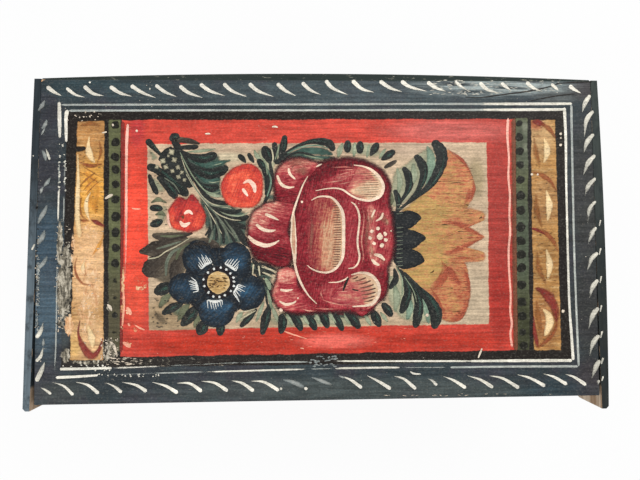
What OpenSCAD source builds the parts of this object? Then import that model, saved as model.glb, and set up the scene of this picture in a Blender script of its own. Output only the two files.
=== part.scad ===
// Painted wooden box. Four dovetailed walls stand on a nailed base board, and a
// single-board lid with a cleat nailed to each end swings on two wooden pins.
// Millimetres. Origin under the middle of the case, +Z up, front towards -Y.

/* [Case] */
// Length of the case, outside
case_len = 543; // [460:1:640]
// Depth of the case, outside
case_depth = 294; // [240:1:360]
// Height of the walls
wall_height = 215; // [170:1:280]
// Thickness of the walls
wall = 16; // [13:0.5:20]

/* [Base] */
// Thickness of the base board
base_thick = 15; // [10:0.5:22]
// How far the base stands out in front and at the ends
base_lip = 7; // [3:0.5:14]
// Radius of the base board's rounded upper edge
base_round = 6; // [2:0.5:9]

/* [Dovetails] */
// Tails on each end of the front and back boards
tails = 4; // [2:1:5]
// Width of a pin at its narrow end
pin_narrow = 10; // [6:0.5:16]
// Width of the half pins at the foot of each corner and the top of the front corners
half_pin = 13; // [8:0.5:20]
// Height of the half pin that holds a pivot, at the top of the rear corners
pivot_half_pin = 31; // [27:0.5:40]
// How much a tail widens on each side from its root to its end
flare = 2.6; // [1:0.1:3.5]

/* [Lid] */
// Thickness of the lid board
lid_thick = 17; // [12:0.5:24]
// How far the lid's left front corner passes the front of the case
front_overhang_left = 15; // [7:0.5:18]
// How far the lid's right front corner passes the front of the case
front_overhang_right = 8.5; // [4:0.5:18]
// How far the lid's left end draws in towards its front corner
end_taper_left = 3; // [0.5:0.5:6]
// How far the lid's right end draws in towards its front corner
end_taper_right = 1.5; // [0.5:0.5:6]
// How far the lid's rear corners pass the rear ends of the cleats
rear_step = 1.5; // [0:0.5:3]
// How far the middle of the rear edge bows out past its corners
rear_bow = 7.5; // [1:0.5:8]
// How far in front of the rear corners the planed bevel begins
bevel_start = 3.5; // [1:0.5:8]
// Slope of the planed bevel on the rear edge
bevel_angle = 32; // [20:1:50]

/* [Cleats] */
// Thickness of a cleat at its ends
cleat_thick = 6.5; // [5:0.5:10]
// Height of a cleat, from the lid's upper face down
cleat_height = 50; // [44:1:70]
// How far a cleat's tip passes the front of the case
cleat_overhang = 21; // [19:0.5:28]
// How far a cleat's rear end passes the back of the case
rear_overhang = 8; // [5:0.5:9]
// Play between a cleat and the end of the case
cleat_play = 2; // [0.5:0.5:4]
// Extra thickness of the left cleat at the middle of its length
belly_left = 1; // [0:0.5:3]
// Extra thickness of the right cleat at the middle of its length
belly_right = 2.5; // [0:0.5:3]
// How far the left cleat has sprung outwards at its tip
spring_left = 1; // [0.5:0.5:6]
// How far the right cleat has sprung outwards at its tip
spring_right = 0.5; // [0.5:0.5:6]
// Share of a cleat's length, from the rear, that still lies against the lid
spring_start = 0.45; // [0.3:0.05:0.7]
// Radius of a cleat's lower corners
cleat_round = 12; // [4:1:14]
// Chamfer on the outer corner of a cleat's tip
tip_chamfer = 2.5; // [1:0.5:4]

/* [Pivots] */
// Diameter of a pivot pin
pin_dia = 8; // [6:0.5:10]
// How far a pivot pin goes into the end of the case
pin_grip = 13; // [8:0.5:13]
// How far below the lid the pivots lie
pivot_drop = 17; // [16:0.5:20]
// How far in front of the case's back the pivots lie
pivot_inset = 10; // [8:0.5:11]
// Radial clearance of a pin in its cleat
pin_clear = 0.1; // [0.02:0.02:0.3]
// Clearance between the swinging lid and the rounded rear edge
swing_clear = 0.4; // [0.2:0.1:1]

/* [Nails] */
// Width of a nail's square shank under its head
nail_width = 3.2; // [2:0.2:4]
// Length of a nail under its head
nail_len = 34; // [28:1:40]
// Width of a nail's head, across its corners
nail_head = 8; // [6:0.5:10]
// Thickness of a nail's head
nail_head_thick = 1.6; // [1:0.2:2.4]
// Nails in each cleat
cleat_nail_count = 4; // [2:1:6]
// Nails along the front and along the back of the base
base_nail_rows = 4; // [2:1:6]
// Nails along each end of the base
base_nail_ends = 2; // [1:1:3]

/* [Hidden] */
$fn = 64;
curve_steps = 16;
nail_taper = 0.45;       // a nail's width at its point, as a share of its width at the head
nail_sink = 0.4;         // how far a base nail's head lies below the base's underside

case_top = base_thick + wall_height;
lid_top = case_top + lid_thick;
case_back = case_depth / 2;
case_front = -case_depth / 2;
case_end = case_len / 2;

lid_end = case_end + cleat_play;
cleat_rear = case_back + rear_overhang;
cleat_tip = case_front - cleat_overhang;
cleat_len = cleat_rear - cleat_tip;
lid_rear = cleat_rear + rear_step;

pivot_y = case_back - pivot_inset;
pivot_z = case_top - pivot_drop;
bore_r = pin_dia / 2 + pin_clear;

// Distance that a cleat has sprung outwards at share s of its length from the rear
function spring_at(s, amount) = amount * pow(max(0, (s - spring_start) / (1 - spring_start)), 2);

// Extra thickness of a cleat at share s of its length
function belly_at(s, amount) = amount * 4 * s * (1 - s);

// Place along the depth at share s of a cleat's length from the rear
function cleat_y(s) = cleat_rear - s * cleat_len;

// Rise of the lid's bowed rear edge at share t of its length
function bow_at(t) = rear_bow * 4 * t * (1 - t);

// Places of the cleat nails, as shares of the cleat's length from the rear
function cleat_nail_share(i) = 0.12 + 0.70 * i / max(1, cleat_nail_count - 1);

// Even spread of count places over a span, half a step in from each end
function spread(i, count, span) = span * ((i + 0.5) / count - 0.5);

// Outline of one corner's pins, from the outer end at x = 0 to the root at x = -wall
module pin_outlines(top_half) {
    root_half = half_pin + flare;
    pitch = (wall_height - half_pin - top_half + pin_narrow) / tails;
    polygon([[0, 0], [0, half_pin], [-wall, root_half], [-wall, 0]]);
    polygon([
        [0, wall_height], [0, wall_height - top_half],
        [-wall, wall_height - top_half - flare], [-wall, wall_height]
    ]);
    for (i = [1 : tails - 1]) {
        mid = half_pin + i * pitch - pin_narrow / 2;
        polygon([
            [0, mid - pin_narrow / 2], [0, mid + pin_narrow / 2],
            [-wall, mid + pin_narrow / 2 + flare], [-wall, mid - pin_narrow / 2 - flare]
        ]);
    }
}

// Solid pins at the right-hand end of a wall whose outer face is at y, reaching back by one wall
module corner_pins(y_outer, top_half) {
    translate([case_end, y_outer + wall, base_thick])
        rotate([90, 0, 0])
            linear_extrude(height = wall)
                pin_outlines(top_half);
}

// What is cut from the top rear edge of the case, so that the lid can swing back over it
module rear_round_cut() {
    reach = case_end + 1;
    difference() {
        translate([-reach, pivot_y, pivot_z])
            cube([2 * reach, pivot_inset + 1, pivot_drop + 1]);
        translate([-reach - 1, pivot_y, pivot_z])
            rotate([0, 90, 0])
                cylinder(r = pivot_drop - swing_clear, h = 2 * reach + 2, $fn = 128);
    }
}

// Square forged nail, head up at z = 0 and point down
module nail(grow = 0) {
    rotate([0, 0, 45]) {
        translate([0, 0, -nail_len])
            cylinder(
                d1 = nail_width * nail_taper * sqrt(2), d2 = nail_width * sqrt(2),
                h = nail_len + grow, $fn = 4
            );
        cylinder(d1 = nail_head, d2 = nail_head * 0.35, h = nail_head_thick, $fn = 4);
    }
}

// Places of the nails that hold the base to the walls above it
module at_base_nails() {
    wall_mid = wall / 2;
    for (i = [0 : base_nail_rows - 1], y = [case_front + wall_mid, case_back - wall_mid])
        translate([spread(i, base_nail_rows, case_len - 4 * wall), y, 0]) children();
    for (i = [0 : base_nail_ends - 1], side = [-1, 1])
        translate([side * (case_end - wall_mid), spread(i, base_nail_ends, case_depth - 6 * wall), 0])
            children();
}

// Base nails, driven up from below, with their heads just under the surface
module base_nail_set() {
    at_base_nails()
        translate([0, 0, nail_head_thick + nail_sink])
            rotate([180, 0, 0])
                nail();
}

// Pockets for the base nails, open below so that each head lies sunk in the wood
module base_nail_cuts() {
    base_nail_set();
    at_base_nails()
        rotate([0, 0, 45])
            translate([0, 0, -1])
                cylinder(d = nail_head, h = nail_head_thick + nail_sink + 1, $fn = 4);
}

// Nails of the right-hand cleat, driven in from its outer face
module cleat_nail_set(belly, spring) {
    for (i = [0 : cleat_nail_count - 1]) {
        s = cleat_nail_share(i);
        x = lid_end + cleat_thick + belly_at(s, belly) + spring_at(s, spring);
        translate([x, cleat_y(s), lid_top - lid_thick / 2])
            rotate([0, 90, 0])
                nail();
    }
}

// Plan of the right-hand cleat: flat against the lid behind, sprung away towards its tip
module cleat_plan(belly, spring) {
    outer = [for (i = [0 : curve_steps]) let (s = i / curve_steps) [
        lid_end + cleat_thick + belly_at(s, belly) + spring_at(s, spring),
        max(cleat_y(s), cleat_tip + tip_chamfer)
    ]];
    inner = [for (i = [curve_steps : -1 : 0]) let (s = spring_start + (1 - spring_start) * i / curve_steps)
        [lid_end + spring_at(s, spring), cleat_y(s)]
    ];
    tip = [lid_end + cleat_thick + spring - tip_chamfer, cleat_tip];
    polygon(concat(outer, [tip], inner, [[lid_end, cleat_rear]]));
}

// Side of a cleat, seen from its end of the box: square above, with round lower corners
module cleat_side() {
    low = lid_top - cleat_height;
    translate([cleat_tip, low + cleat_round]) square([cleat_len, cleat_height - cleat_round]);
    translate([cleat_tip + cleat_round, low]) square([cleat_len - 2 * cleat_round, cleat_height]);
    for (y = [cleat_tip + cleat_round, cleat_rear - cleat_round])
        translate([y, low + cleat_round]) circle(r = cleat_round);
}

// Right-hand cleat with its pivot bore and nail holes
module cleat(belly, spring) {
    width = cleat_thick + belly + spring;
    difference() {
        intersection() {
            translate([0, 0, lid_top - cleat_height - 1])
                linear_extrude(height = cleat_height + 1)
                    cleat_plan(belly, spring);
            translate([lid_end - 1, 0, 0])
                rotate([90, 0, 90])
                    linear_extrude(height = width + 2)
                        cleat_side();
        }
        translate([lid_end - 1, pivot_y, pivot_z])
            rotate([0, 90, 0])
                cylinder(r = bore_r, h = width + 2);
        cleat_nail_set(belly, spring);
    }
}

// Right-hand pivot pin, tight in the end of the case and free in the cleat
module pivot_pin() {
    point = pin_dia / 8;
    length = pin_grip + cleat_play + cleat_thick;
    translate([case_end - pin_grip, pivot_y, pivot_z])
        rotate([0, 90, 0]) {
            cylinder(d1 = pin_dia - 2 * point, d2 = pin_dia, h = point);
            translate([0, 0, point]) cylinder(d = pin_dia, h = length - point);
        }
}

// Wall at the right-hand end, with the pins of both its corners and a blind hole for the pivot
module end_board() {
    core_depth = case_depth - 2 * wall;
    difference() {
        union() {
            translate([case_end - wall, -core_depth / 2, base_thick])
                cube([wall, core_depth, wall_height]);
            corner_pins(case_front, half_pin);
            corner_pins(case_back - wall, pivot_half_pin);
        }
        rear_round_cut();
        pivot_pin();
        base_nail_set();
    }
}

// Front or back wall, with a socket for each pin of the end boards
module tail_board(y_outer, top_half) {
    difference() {
        translate([-case_end, y_outer, base_thick]) cube([case_len, wall, wall_height]);
        for (side = [0, 1]) mirror([side, 0, 0]) corner_pins(y_outer, top_half);
        base_nail_set();
    }
}

module base_board() {
    width = case_len + 2 * base_lip;
    depth = case_depth + base_lip;
    front = case_front - base_lip;
    end = width / 2;
    edge = base_thick - base_round;
    color("sienna") difference() {
        translate([-end, front, 0]) cube([width, depth, base_thick]);
        // rounded upper edge along the front
        difference() {
            translate([-end - 1, front - 1, edge]) cube([width + 2, base_round + 1, base_round + 1]);
            translate([-end - 2, front + base_round, edge])
                rotate([0, 90, 0])
                    cylinder(r = base_round, h = width + 4);
        }
        // rounded upper edge along both ends
        for (side = [0, 1]) mirror([side, 0, 0]) difference() {
            translate([end - base_round, front - 1, edge]) cube([base_round + 1, depth + 2, base_round + 1]);
            translate([end - base_round, front - 2, edge])
                rotate([-90, 0, 0])
                    cylinder(r = base_round, h = depth + 4);
        }
        base_nail_cuts();
    }
}

module front_board() {
    color("darkslategray") tail_board(case_front, half_pin);
}

module back_board() {
    color("darkslategray") difference() {
        tail_board(case_back - wall, pivot_half_pin);
        rear_round_cut();
    }
}

module left_end_board() {
    color("darkslategray") mirror([1, 0, 0]) end_board();
}

module right_end_board() {
    color("darkslategray") end_board();
}

module base_nails() {
    color("dimgray") base_nail_set();
}

module left_pivot_pin() {
    color("peru") mirror([1, 0, 0]) pivot_pin();
}

module right_pivot_pin() {
    color("peru") pivot_pin();
}

// One wide board: its front edge runs askew, its ends draw in towards the front, and its rear edge
// is bowed and bevelled
module lid_board() {
    rear_edge = [for (i = [0 : curve_steps]) let (t = i / curve_steps)
        [lid_end - 2 * lid_end * t, lid_rear + bow_at(t)]
    ];
    draw_in = cleat_y(spring_start);
    front_edge = [
        [-lid_end, draw_in],
        [-lid_end + end_taper_left, case_front - front_overhang_left],
        [lid_end - end_taper_right, case_front - front_overhang_right],
        [lid_end, draw_in]
    ];
    bevel_reach = 3 * (rear_bow + bevel_start);
    color("firebrick") difference() {
        translate([0, 0, case_top])
            linear_extrude(height = lid_thick)
                polygon(concat(front_edge, rear_edge));
        translate([-lid_end - 1, lid_rear - bevel_start, lid_top])
            rotate([-bevel_angle, 0, 0])
                cube([2 * lid_end + 2, bevel_reach, bevel_reach]);
        cleat_nail_set(belly_right, spring_right);
        mirror([1, 0, 0]) cleat_nail_set(belly_left, spring_left);
    }
}

module left_cleat() {
    color("midnightblue") mirror([1, 0, 0]) cleat(belly_left, spring_left);
}

module right_cleat() {
    color("midnightblue") cleat(belly_right, spring_right);
}

module left_cleat_nails() {
    color("dimgray") mirror([1, 0, 0]) cleat_nail_set(belly_left, spring_left);
}

module right_cleat_nails() {
    color("dimgray") cleat_nail_set(belly_right, spring_right);
}

base_board();
front_board();
back_board();
left_end_board();
right_end_board();
base_nails();
left_pivot_pin();
right_pivot_pin();
lid_board();
left_cleat();
right_cleat();
left_cleat_nails();
right_cleat_nails();
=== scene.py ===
import math
import random

import bpy
import numpy as np
from mathutils import Matrix, Vector


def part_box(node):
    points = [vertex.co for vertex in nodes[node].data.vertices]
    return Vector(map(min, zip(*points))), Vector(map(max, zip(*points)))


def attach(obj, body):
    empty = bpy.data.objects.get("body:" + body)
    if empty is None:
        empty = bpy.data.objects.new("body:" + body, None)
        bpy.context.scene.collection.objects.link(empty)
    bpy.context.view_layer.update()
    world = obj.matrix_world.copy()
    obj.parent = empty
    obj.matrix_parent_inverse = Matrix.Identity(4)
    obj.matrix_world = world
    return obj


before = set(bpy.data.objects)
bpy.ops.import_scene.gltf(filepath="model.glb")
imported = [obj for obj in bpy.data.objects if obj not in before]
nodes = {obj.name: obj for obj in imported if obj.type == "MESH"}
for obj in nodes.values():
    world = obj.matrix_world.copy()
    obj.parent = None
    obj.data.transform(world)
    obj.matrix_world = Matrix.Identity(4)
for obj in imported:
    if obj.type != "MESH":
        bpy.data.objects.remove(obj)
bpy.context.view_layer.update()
mm = 0.001
dice = random.Random(11)
print("frame loaded:", len(nodes), "boards, pins and nail sets")

# the camera stands where the photograph was taken, almost straight above the lid
camera = dict(
    frameSize=(640, 480),          # pixels
    focal=480.0,                   # pixels
    turn=(-3.25, -0.71, -0.06),    # degrees, one axis with its angle
    eye=(-3.8, -25.0, 468.0),      # mm from the middle of the lid's upper face
    sensor=36.0,                   # mm
)

lidLow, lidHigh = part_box("lid_board")
cleatLow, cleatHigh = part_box("left_cleat")
lidMiddle = Vector((0, (cleatLow.y + cleatHigh.y) / 2, lidHigh.z))
turn = Vector([math.radians(angle) for angle in camera["turn"]])
look = Matrix.Rotation(turn.length, 3, turn.normalized()) @ Matrix.Diagonal((1, -1, -1))
eye = lidMiddle + Vector(camera["eye"]) * mm


def onLid(x, y):    # where the line of sight through a pixel meets the lid
    wide, high = camera["frameSize"]
    aim = Vector(((x - wide / 2) / camera["focal"], (y - high / 2) / camera["focal"], 1))
    ray = look.transposed() @ aim
    return eye + ray * ((lidMiddle.z - eye.z) / ray.z)


midX, midY = (size / 2 for size in camera["frameSize"])
pixel = (onLid(midX + 1, midY) - onLid(midX, midY)).length       # metres on the lid


def placeCamera():
    bpy.ops.object.camera_add()
    item = bpy.context.object
    item.name = "photoCamera"
    item.data.sensor_width = camera["sensor"]
    item.data.lens = camera["focal"] * camera["sensor"] / camera["frameSize"][0]
    axes = Matrix((look[0], -look[1], -look[2])).transposed()
    item.matrix_world = Matrix.Translation(eye) @ axes.to_4x4()
    bpy.context.scene.camera = item


placeCamera()
print("camera placed at", [round(c, 4) for c in eye])


# small helpers for the node trees; colours are written as 0 to 255, as a screen shows them
def linear(colour):
    parts = [c / 255 for c in colour]
    return [c / 12.92 if c < 0.04 else ((c + 0.055) / 1.055) ** 2.4 for c in parts]


def feed(tree, socket, value):
    if isinstance(value, bpy.types.NodeSocket):
        tree.links.new(value, socket)
    elif socket.type == "RGBA":
        socket.default_value = (*linear(value), 1)
    else:
        socket.default_value = value


def add(tree, kind, wires=None, **settings):
    node = tree.nodes.new("ShaderNode" + kind)
    for key, value in settings.items():
        setattr(node, key, value)
    for key, value in (wires or {}).items():
        feed(tree, node.inputs[key], value)
    return node


def calc(tree, operation, a, b=0.0, clamp=False):
    return add(tree, "Math", {0: a, 1: b}, operation=operation, use_clamp=clamp).outputs[0]


def times(tree, a, b):
    return calc(tree, "MULTIPLY", a, b)


def plus(tree, a, b, clamp=False):
    return calc(tree, "ADD", a, b, clamp)


def minus(tree, a, b):
    return calc(tree, "SUBTRACT", a, b)


def larger(tree, a, b):
    return calc(tree, "MAXIMUM", a, b)


def ramp(tree, value, low, high, start=0.0, end=1.0):
    wires = {0: value, 1: low, 2: high, 3: start, 4: end}
    return add(tree, "MapRange", wires, interpolation_type="SMOOTHSTEP").outputs[0]


def blend(tree, amount, first, second, way="MIX"):
    wires = {0: amount, 6: first, 7: second}
    return add(tree, "Mix", wires, data_type="RGBA", blend_type=way).outputs[2]


def shade(tree, colour, level):    # the colour times a level, which may pass 1
    wires = {0: level, 6: (0, 0, 0), 7: colour}
    return add(tree, "Mix", wires, data_type="RGBA", clamp_factor=False).outputs[2]


def colourRun(tree, value, colours):    # evenly spaced colours
    node = add(tree, "ValToRGB", {0: value})
    stops = node.color_ramp.elements
    for k, colour in enumerate(colours):
        if 0 < k < len(colours) - 1:
            stops.new(k / (len(colours) - 1))
    for stop, colour in zip(stops, colours):
        stop.color = (*linear(colour), 1)
    return node.outputs[0]


def noise(tree, vector, scale=1.0, detail=3.0, rough=0.55, warp=0.0):
    wires = {"Vector": vector, "Scale": scale, "Detail": detail, "Roughness": rough, "Distortion": warp}
    return add(tree, "TexNoise", wires).outputs[0]


def stretch(tree, vector, scale, shift=(0, 0, 0), turned=(0, 0, 0)):
    wires = {"Vector": vector, "Location": shift, "Rotation": turned, "Scale": scale}
    return add(tree, "Mapping", wires).outputs[0]


# noise drawn out along one axis
def longNoise(tree, place, scale, detail, rough=0.55, warp=0.0, shift=(0, 0, 0)):
    return noise(tree, stretch(tree, place, scale, shift), 1.0, detail, rough, warp)


def millimetres(tree):
    spot = add(tree, "TexCoord").outputs["Object"]
    return add(tree, "VectorMath", {0: spot, "Scale": 1000.0}, operation="SCALE").outputs[0]


spotEdge = (0.35, 1.15)       # in radii, where a soft spot starts to thin out and where it ends


def softSpot(tree, place, centre, radii):    # 1 in the middle of an ellipse on the lid, 0 outside
    middle = onLid(*centre) / mm
    scale = [mm / (r * pixel) for r in radii]
    wires = {0: place, 1: (*scale, 0), 2: (-middle.x * scale[0], -middle.y * scale[1], 0)}
    local = add(tree, "VectorMath", wires, operation="MULTIPLY_ADD").outputs[0]
    away = add(tree, "VectorMath", {0: local}, operation="LENGTH").outputs["Value"]
    return ramp(tree, away, *spotEdge, 1.0, 0.0)


def newGroup(name, inputs, outputs):
    tree = bpy.data.node_groups.new(name, "ShaderNodeTree")
    for label, kind, default in inputs:
        socket = tree.interface.new_socket(name=label, in_out="INPUT", socket_type="NodeSocket" + kind)
        if default is not None:
            socket.default_value = default
    for label, kind in outputs:
        tree.interface.new_socket(name=label, in_out="OUTPUT", socket_type="NodeSocket" + kind)
    return tree, tree.nodes.new("NodeGroupInput").outputs, tree.nodes.new("NodeGroupOutput").inputs


def useGroup(tree, group, wires):
    node = tree.nodes.new("ShaderNodeGroup")
    node.node_tree = group
    for key, value in wires.items():
        feed(tree, node.inputs[key], value)
    return node.outputs


def newMaterial(name):
    material = bpy.data.materials.new(name)
    material.use_nodes = True
    tree = material.node_tree
    return material, tree, tree.nodes["Principled BSDF"]


def surface(tree, shader, colour, rough, height, depth=0.3, strength=0.6, shine=0.13):
    feed(tree, shader.inputs["Base Color"], colour)
    feed(tree, shader.inputs["Roughness"], rough)
    shader.inputs["Specular IOR Level"].default_value = shine
    bump = add(tree, "Bump", {"Height": height, "Strength": strength, "Distance": depth * mm})
    tree.links.new(bump.outputs[0], shader.inputs["Normal"])


# bare wood with its grain along the first axis
def makeWoodGroup():
    tree, given, gives = newGroup(
        "boardGrain",
        [("Place", "Vector", None), ("Pale", "Color", None), ("Dark", "Color", None)],
        [("Colour", "Color"), ("Height", "Float"), ("Fibre", "Float")])
    place = given["Place"]
    bands = longNoise(tree, place, (0.005, 0.09, 0.09), 4.0, 0.5, 0.7)
    fibre = longNoise(tree, place, (0.022, 0.9, 0.9), 4.0, 0.6)
    pores = longNoise(tree, place, (0.07, 2.6, 2.6), 2.0)
    tone = plus(tree, times(tree, bands, 0.75), times(tree, fibre, 0.45))
    colour = blend(tree, ramp(tree, tone, 0.42, 0.78), given["Pale"], given["Dark"])
    colour = shade(tree, colour, ramp(tree, pores, 0.62, 0.74, 1.0, 0.72))
    feed(tree, gives["Colour"], colour)
    feed(tree, gives["Height"], minus(tree, fibre, ramp(tree, pores, 0.6, 0.75)))
    feed(tree, gives["Fibre"], fibre)
    return tree


boardGrain = makeWoodGroup()

wornLid = dict(
    # patches rubbed through to the wood: middle and radii in pixels of the photograph, strength
    grey=[((64, 288), (10, 38), 1.0), ((60, 242), (4, 30), 0.9), ((66, 258), (9, 18), 0.8),
          ((61, 315), (6, 22), 0.5), ((66, 356), (7, 10), 0.74), ((92, 362), (30, 3.4), 0.5),
          ((150, 361), (60, 4), 0.26), ((37, 280), (2.5, 70), 0.42), ((109, 349), (10, 14), 0.64),
          ((109, 308), (4, 5), 0.52), ((70, 78.2), (40, 1.5), 0.9)],
    warm=[((88, 290), (19, 62), 0.50), ((69, 325), (6, 13), 0.85), ((88, 232), (14, 12), 0.40),
          ((141, 285), (8, 9), 0.44), ((136, 330), (6, 4), 0.40), ((39, 79), (8, 3.2), 1.0),
          ((293, 77.5), (6, 2.6), 0.95), ((122.5, 300), (2.4, 46), 0.62), ((128, 312), (4, 5), 0.6),
          ((128, 344), (5, 4), 0.56), ((600, 400), (4, 5), 0.6), ((73, 250), (3, 24), 0.55)],
    greyColours=((58, 56, 51), (142, 134, 117), (216, 207, 188)),
    warmColours=((204, 148, 104), (232, 186, 140), (246, 214, 174)),
    chip=(226, 212, 192), dust=(170, 166, 152),
    # how far each kind of mark darkens and lightens the paint
    furrow=0.25, ridge=0.20, mottle=(0.88, 1.11), speck=(0.83, 1.17), stain=(0.95, 1.06),
    pore=0.68, pinhole=0.62, dusty=0.15,
    torn=2.2,       # how ragged a patch's edge is
    rough=(0.52, 0.40), bareRough=0.35, bareDepth=0.8,
)


# what age has done to the whole painted lid: grain that shows through, stains, rubbed patches, small chips
def makeLidAge():
    worn = wornLid
    tree, given, gives = newGroup(
        "lidAge", [("Paint", "Color", None), ("Thin", "Float", 1.0), ("Grain", "Float", 1.0)],
        [("Colour", "Color"), ("Rough", "Float"), ("Height", "Float")])
    place = millimetres(tree)
    lines = longNoise(tree, place, (0.03, 0.50, 0.50), 4.0, 0.62)
    mottle = noise(tree, place, 0.10, 4.0, 0.62)
    stain = noise(tree, place, 0.014, 4.0, 0.6)
    speck = longNoise(tree, place, (0.55, 0.8, 0.8), 3.0, 0.6)
    pores = longNoise(tree, place, (0.11, 0.85, 0.85), 3.0, 0.6, shift=(3, 5, 0))
    dust = longNoise(tree, place, (0.5, 0.62, 0.62), 3.0, 0.65, shift=(9, 2, 0))
    furrow = minus(tree, 1.0, times(tree, given["Grain"], worn["furrow"]))
    ridge = plus(tree, 1.0, times(tree, given["Grain"], worn["ridge"]))
    colour = shade(tree, given["Paint"], ramp(tree, lines, 0.28, 0.72, furrow, ridge))
    colour = shade(tree, colour, ramp(tree, mottle, 0.3, 0.7, *worn["mottle"]))
    colour = shade(tree, colour, ramp(tree, speck, 0.28, 0.72, *worn["speck"]))
    colour = shade(tree, colour, ramp(tree, stain, 0.3, 0.7, *worn["stain"]))
    colour = shade(tree, colour, ramp(tree, pores, 0.58, 0.72, 1.0, worn["pore"]))
    colour = blend(tree, ramp(tree, dust, 0.50, 0.74, 0.0, worn["dusty"]), colour, worn["dust"])
    ragged = longNoise(tree, place, (0.24, 0.20, 0.20), 5.0, 0.7)
    ragged = times(tree, minus(tree, ragged, 0.5), worn["torn"])
    blotch = longNoise(tree, place, (0.30, 0.085, 0.30), 3.0, 0.6)
    rubbing = longNoise(tree, place, (0.62, 0.34, 0.62), 4.0, 0.72)
    rubbing = plus(tree, times(tree, blotch, 0.62), times(tree, rubbing, 0.38))
    bare = None
    for kind in ("grey", "warm"):
        reach = 0.0
        for centre, radii, strength in worn[kind]:
            spot = times(tree, softSpot(tree, place, centre, radii), strength)
            reach = larger(tree, spot, reach)
        reach = times(tree, reach, given["Thin"])
        torn = times(tree, ragged, ramp(tree, reach, 0.0, 0.25))
        mask = ramp(tree, plus(tree, reach, torn), 0.40, 0.62)
        wood = colourRun(tree, ramp(tree, rubbing, 0.36, 0.64), worn[kind + "Colours"])
        wood = shade(tree, wood, ramp(tree, lines, 0.28, 0.72, 0.86, 1.1))
        colour = blend(tree, mask, colour, wood)
        bare = mask if bare is None else larger(tree, bare, mask)
    chips = longNoise(tree, place, (0.32, 0.5, 0.5), 2.0, 0.6, shift=(7, 3, 0))
    sparse = noise(tree, place, 0.021, 2.0)
    chips = times(tree, ramp(tree, chips, 0.735, 0.765), ramp(tree, sparse, 0.50, 0.62))
    colour = blend(tree, times(tree, chips, given["Thin"]), colour, worn["chip"])
    pinholes = noise(tree, place, 0.62, 2.0, 0.6)
    colour = shade(tree, colour, ramp(tree, pinholes, 0.70, 0.76, 1.0, worn["pinhole"]))
    feed(tree, gives["Colour"], colour)
    rough = ramp(tree, lines, 0.3, 0.7, *worn["rough"])
    feed(tree, gives["Rough"], plus(tree, rough, times(tree, bare, worn["bareRough"])))
    height = plus(tree, lines, times(tree, speck, 0.4))
    sunk = times(tree, bare, worn["bareDepth"])
    feed(tree, gives["Height"], minus(tree, height, sunk))
    return tree


lidAge = makeLidAge()


# brush hairs: streaks along a stroke, from the two coordinates that each stroke carries
def makeBristles():
    tree, given, gives = newGroup(
        "bristles", [("Strength", "Float", 0.4), ("Soft", "Float", 0.0)],
        [("Mix", "Float"), ("Fade", "Float"), ("Tone", "Float"), ("Height", "Float")])
    read = {name: add(tree, "Attribute", attribute_name=name).outputs["Fac"]
            for name in ("along", "across", "load", "fade", "tone")}
    hair = add(tree, "CombineXYZ", {0: times(tree, read["along"], 0.07),
                                    1: times(tree, read["across"], 0.95),
                                    2: times(tree, read["tone"], 40.0)}).outputs[0]
    streak = noise(tree, hair, 1.0, 3.0, 0.6)
    fleck = noise(tree, stretch(tree, millimetres(tree), (0.34, 0.50, 0.50)), 1.0, 4.0, 0.7)
    grain = plus(tree, times(tree, streak, 0.55), times(tree, fleck, 0.45))
    push = times(tree, minus(tree, grain, 0.5), given["Strength"])
    feed(tree, gives["Mix"], plus(tree, read["load"], times(tree, push, 2.4), True))
    # a hard brush breaks up where it runs dry, a soft one thins out evenly
    lean = plus(tree, times(tree, given["Soft"], 0.4), 0.9)
    window = plus(tree, times(tree, given["Soft"], 0.26), 0.08)
    dry = times(tree, minus(tree, read["fade"], 0.5), lean)
    dry = plus(tree, grain, dry)
    low, high = minus(tree, 0.51, window), plus(tree, 0.51, window)
    feed(tree, gives["Fade"], ramp(tree, dry, low, high))
    feed(tree, gives["Tone"], ramp(tree, read["tone"], 0.0, 1.0, 0.93, 1.06))
    feed(tree, gives["Height"], streak)
    return tree


bristles = makeBristles()
print("shared finishes ready: boardGrain, lidAge, bristles")

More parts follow.
